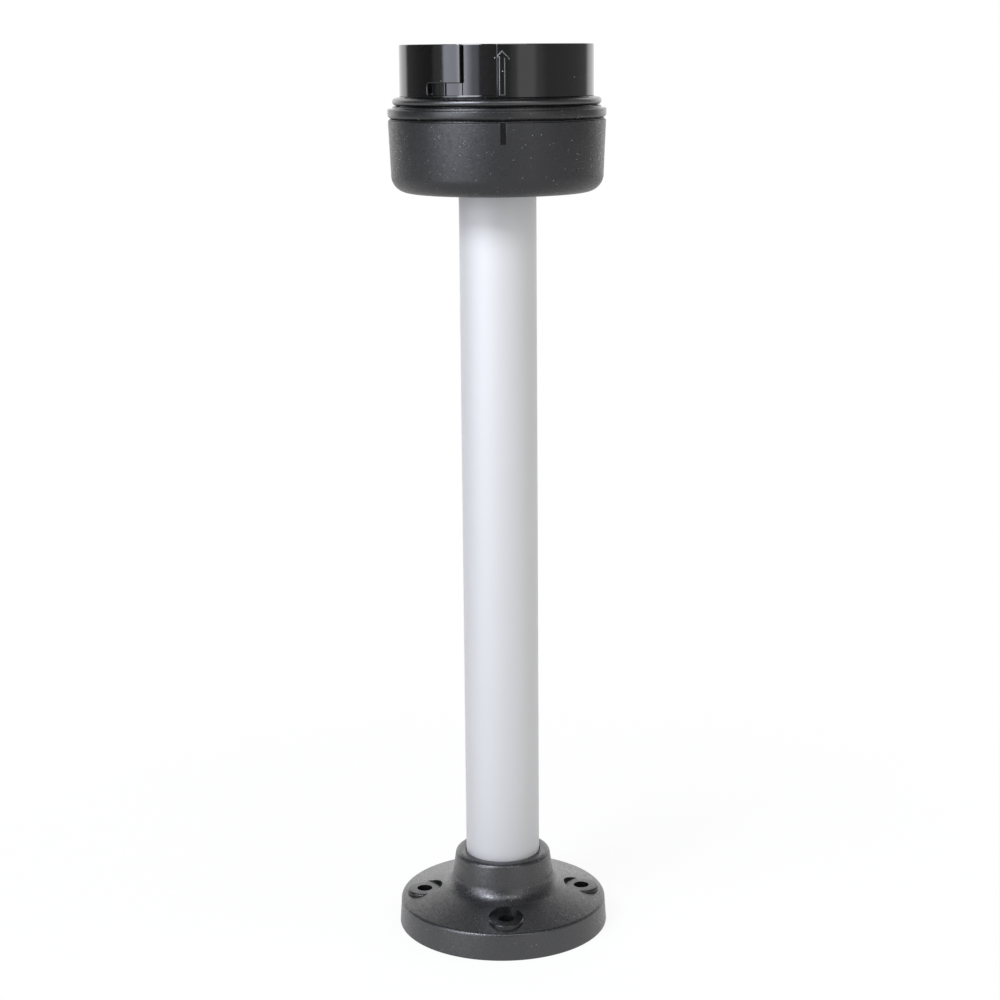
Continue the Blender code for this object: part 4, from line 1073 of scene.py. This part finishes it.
def add_studio(scene):
    """White to the camera; for light and reflections, a white cove behind and soft boxes at the sides."""
    world = bpy.data.worlds.new("studio")
    scene.world = world
    world.use_nodes = True
    tree = world.node_tree
    background = tree.nodes["Background"]
    where = add_node(tree, "ShaderNodeTexCoord")
    parts = add_node(tree, "ShaderNodeSeparateXYZ", None, {"Vector": where.outputs["Generated"]}).outputs
    angle = maths(tree, "ARCTAN2", parts["X"], maths(tree, "MULTIPLY", parts["Y"], -1.0))
    share = spread(tree, angle, 0.0, 1.0, -math.pi, math.pi)
    peak = max(level for turn, level in STUDIO)
    levels = colours_round(tree, share, [(turn, [level / peak] * 3) for turn, level in STUDIO])
    walls = maths(tree, "MULTIPLY", levels, peak)
    ceiling = spread(tree, parts["Z"], 1.0, 0.15, 0.45, 0.75)
    room = maths(tree, "MULTIPLY", walls, ceiling)
    direct = add_node(tree, "ShaderNodeLightPath").outputs["Is Camera Ray"]
    hidden = maths(tree, "SUBTRACT", 1.0, direct)
    level = maths(tree, "MULTIPLY_ADD", room, hidden, direct)
    tree.links.new(level, background.inputs["Strength"])
    tint = colours_round(tree, share, COOL_BOX)
    tree.links.new(blend(tree, direct, tint, NEUTRAL), background.inputs["Color"])


def add_lamp(name, spot, target, size, power):
    """A rectangular soft lamp that looks at a point."""
    data = bpy.data.lights.new(name, "AREA")
    data.shape = "RECTANGLE"
    data.size = size[0]
    data.size_y = size[1]
    data.energy = power
    lamp = bpy.data.objects.new(name, data)
    bpy.context.scene.collection.objects.link(lamp)
    lamp.location = spot
    lamp.rotation_euler = (Vector(target) - Vector(spot)).to_track_quat("-Z", "Y").to_euler()
    return lamp


class POLEBASE_OT_stage(bpy.types.Operator):
    """Build the floor, the camera, the lamps and the white studio"""
    bl_idname = "pole_base.stage"
    bl_label = "Stage"

    def execute(self, context):
        settings = context.scene.pole_base.stage
        scene = context.scene
        scene.view_settings.view_transform = "Standard"
        add_camera(scene, settings)
        add_floor()
        add_studio(scene)
        top = add_lamp("top_lamp", (-0.43, -0.57, 0.74), (0, 0, 0.05), (0.35, 0.22), settings.top_power)
        top.data.color = COOL
        add_lamp("fill_lamp", (0.2, -0.68, 0.76), (0, 0, 0.05), (0.5, 0.22), settings.fill_power)
        side = add_lamp("side_lamp", (0.8, -0.15, 0.16), (0, 0, 0.13), (0.5, 0.4), settings.side_power)
        side.visible_glossy = False
        return {"FINISHED"}


class POLEBASE_PT_panel(bpy.types.Panel):
    """Lists the pieces and their settings in the sidebar"""
    bl_idname = "POLEBASE_PT_panel"
    bl_label = "Pole base"
    bl_space_type = "VIEW_3D"
    bl_region_type = "UI"
    bl_category = "Pole base"

    def draw(self, context):
        settings = context.scene.pole_base
        for operator in OPERATORS:
            self.layout.operator(operator.bl_idname)
        for group in (settings.foot, settings.tube, settings.head, settings.terminals, settings.stage):
            box = self.layout.box()
            for name in group.bl_rna.properties.keys():
                if name not in ("rna_type", "name"):
                    box.prop(group, name)


SETTINGS = (FootSettings, TubeSettings, HeadSettings, TerminalSettings, StageSettings, PoleBaseSettings)
OPERATORS = (POLEBASE_OT_stage, POLEBASE_OT_foot, POLEBASE_OT_tube, POLEBASE_OT_cup, POLEBASE_OT_neck,
             POLEBASE_OT_rubber, POLEBASE_OT_terminals, POLEBASE_OT_screws)


def register():
    for kind in (*SETTINGS, *OPERATORS, POLEBASE_PT_panel):
        bpy.utils.register_class(kind)
    bpy.types.Scene.pole_base = bpy.props.PointerProperty(type=PoleBaseSettings)


def unregister():
    del bpy.types.Scene.pole_base
    for kind in reversed((*SETTINGS, *OPERATORS, POLEBASE_PT_panel)):
        bpy.utils.unregister_class(kind)


def main():
    register()
    for operator in OPERATORS:
        name = operator.bl_idname.split(".")[1]
        getattr(bpy.ops.pole_base, name)()


if __name__ == "__main__":
    main()
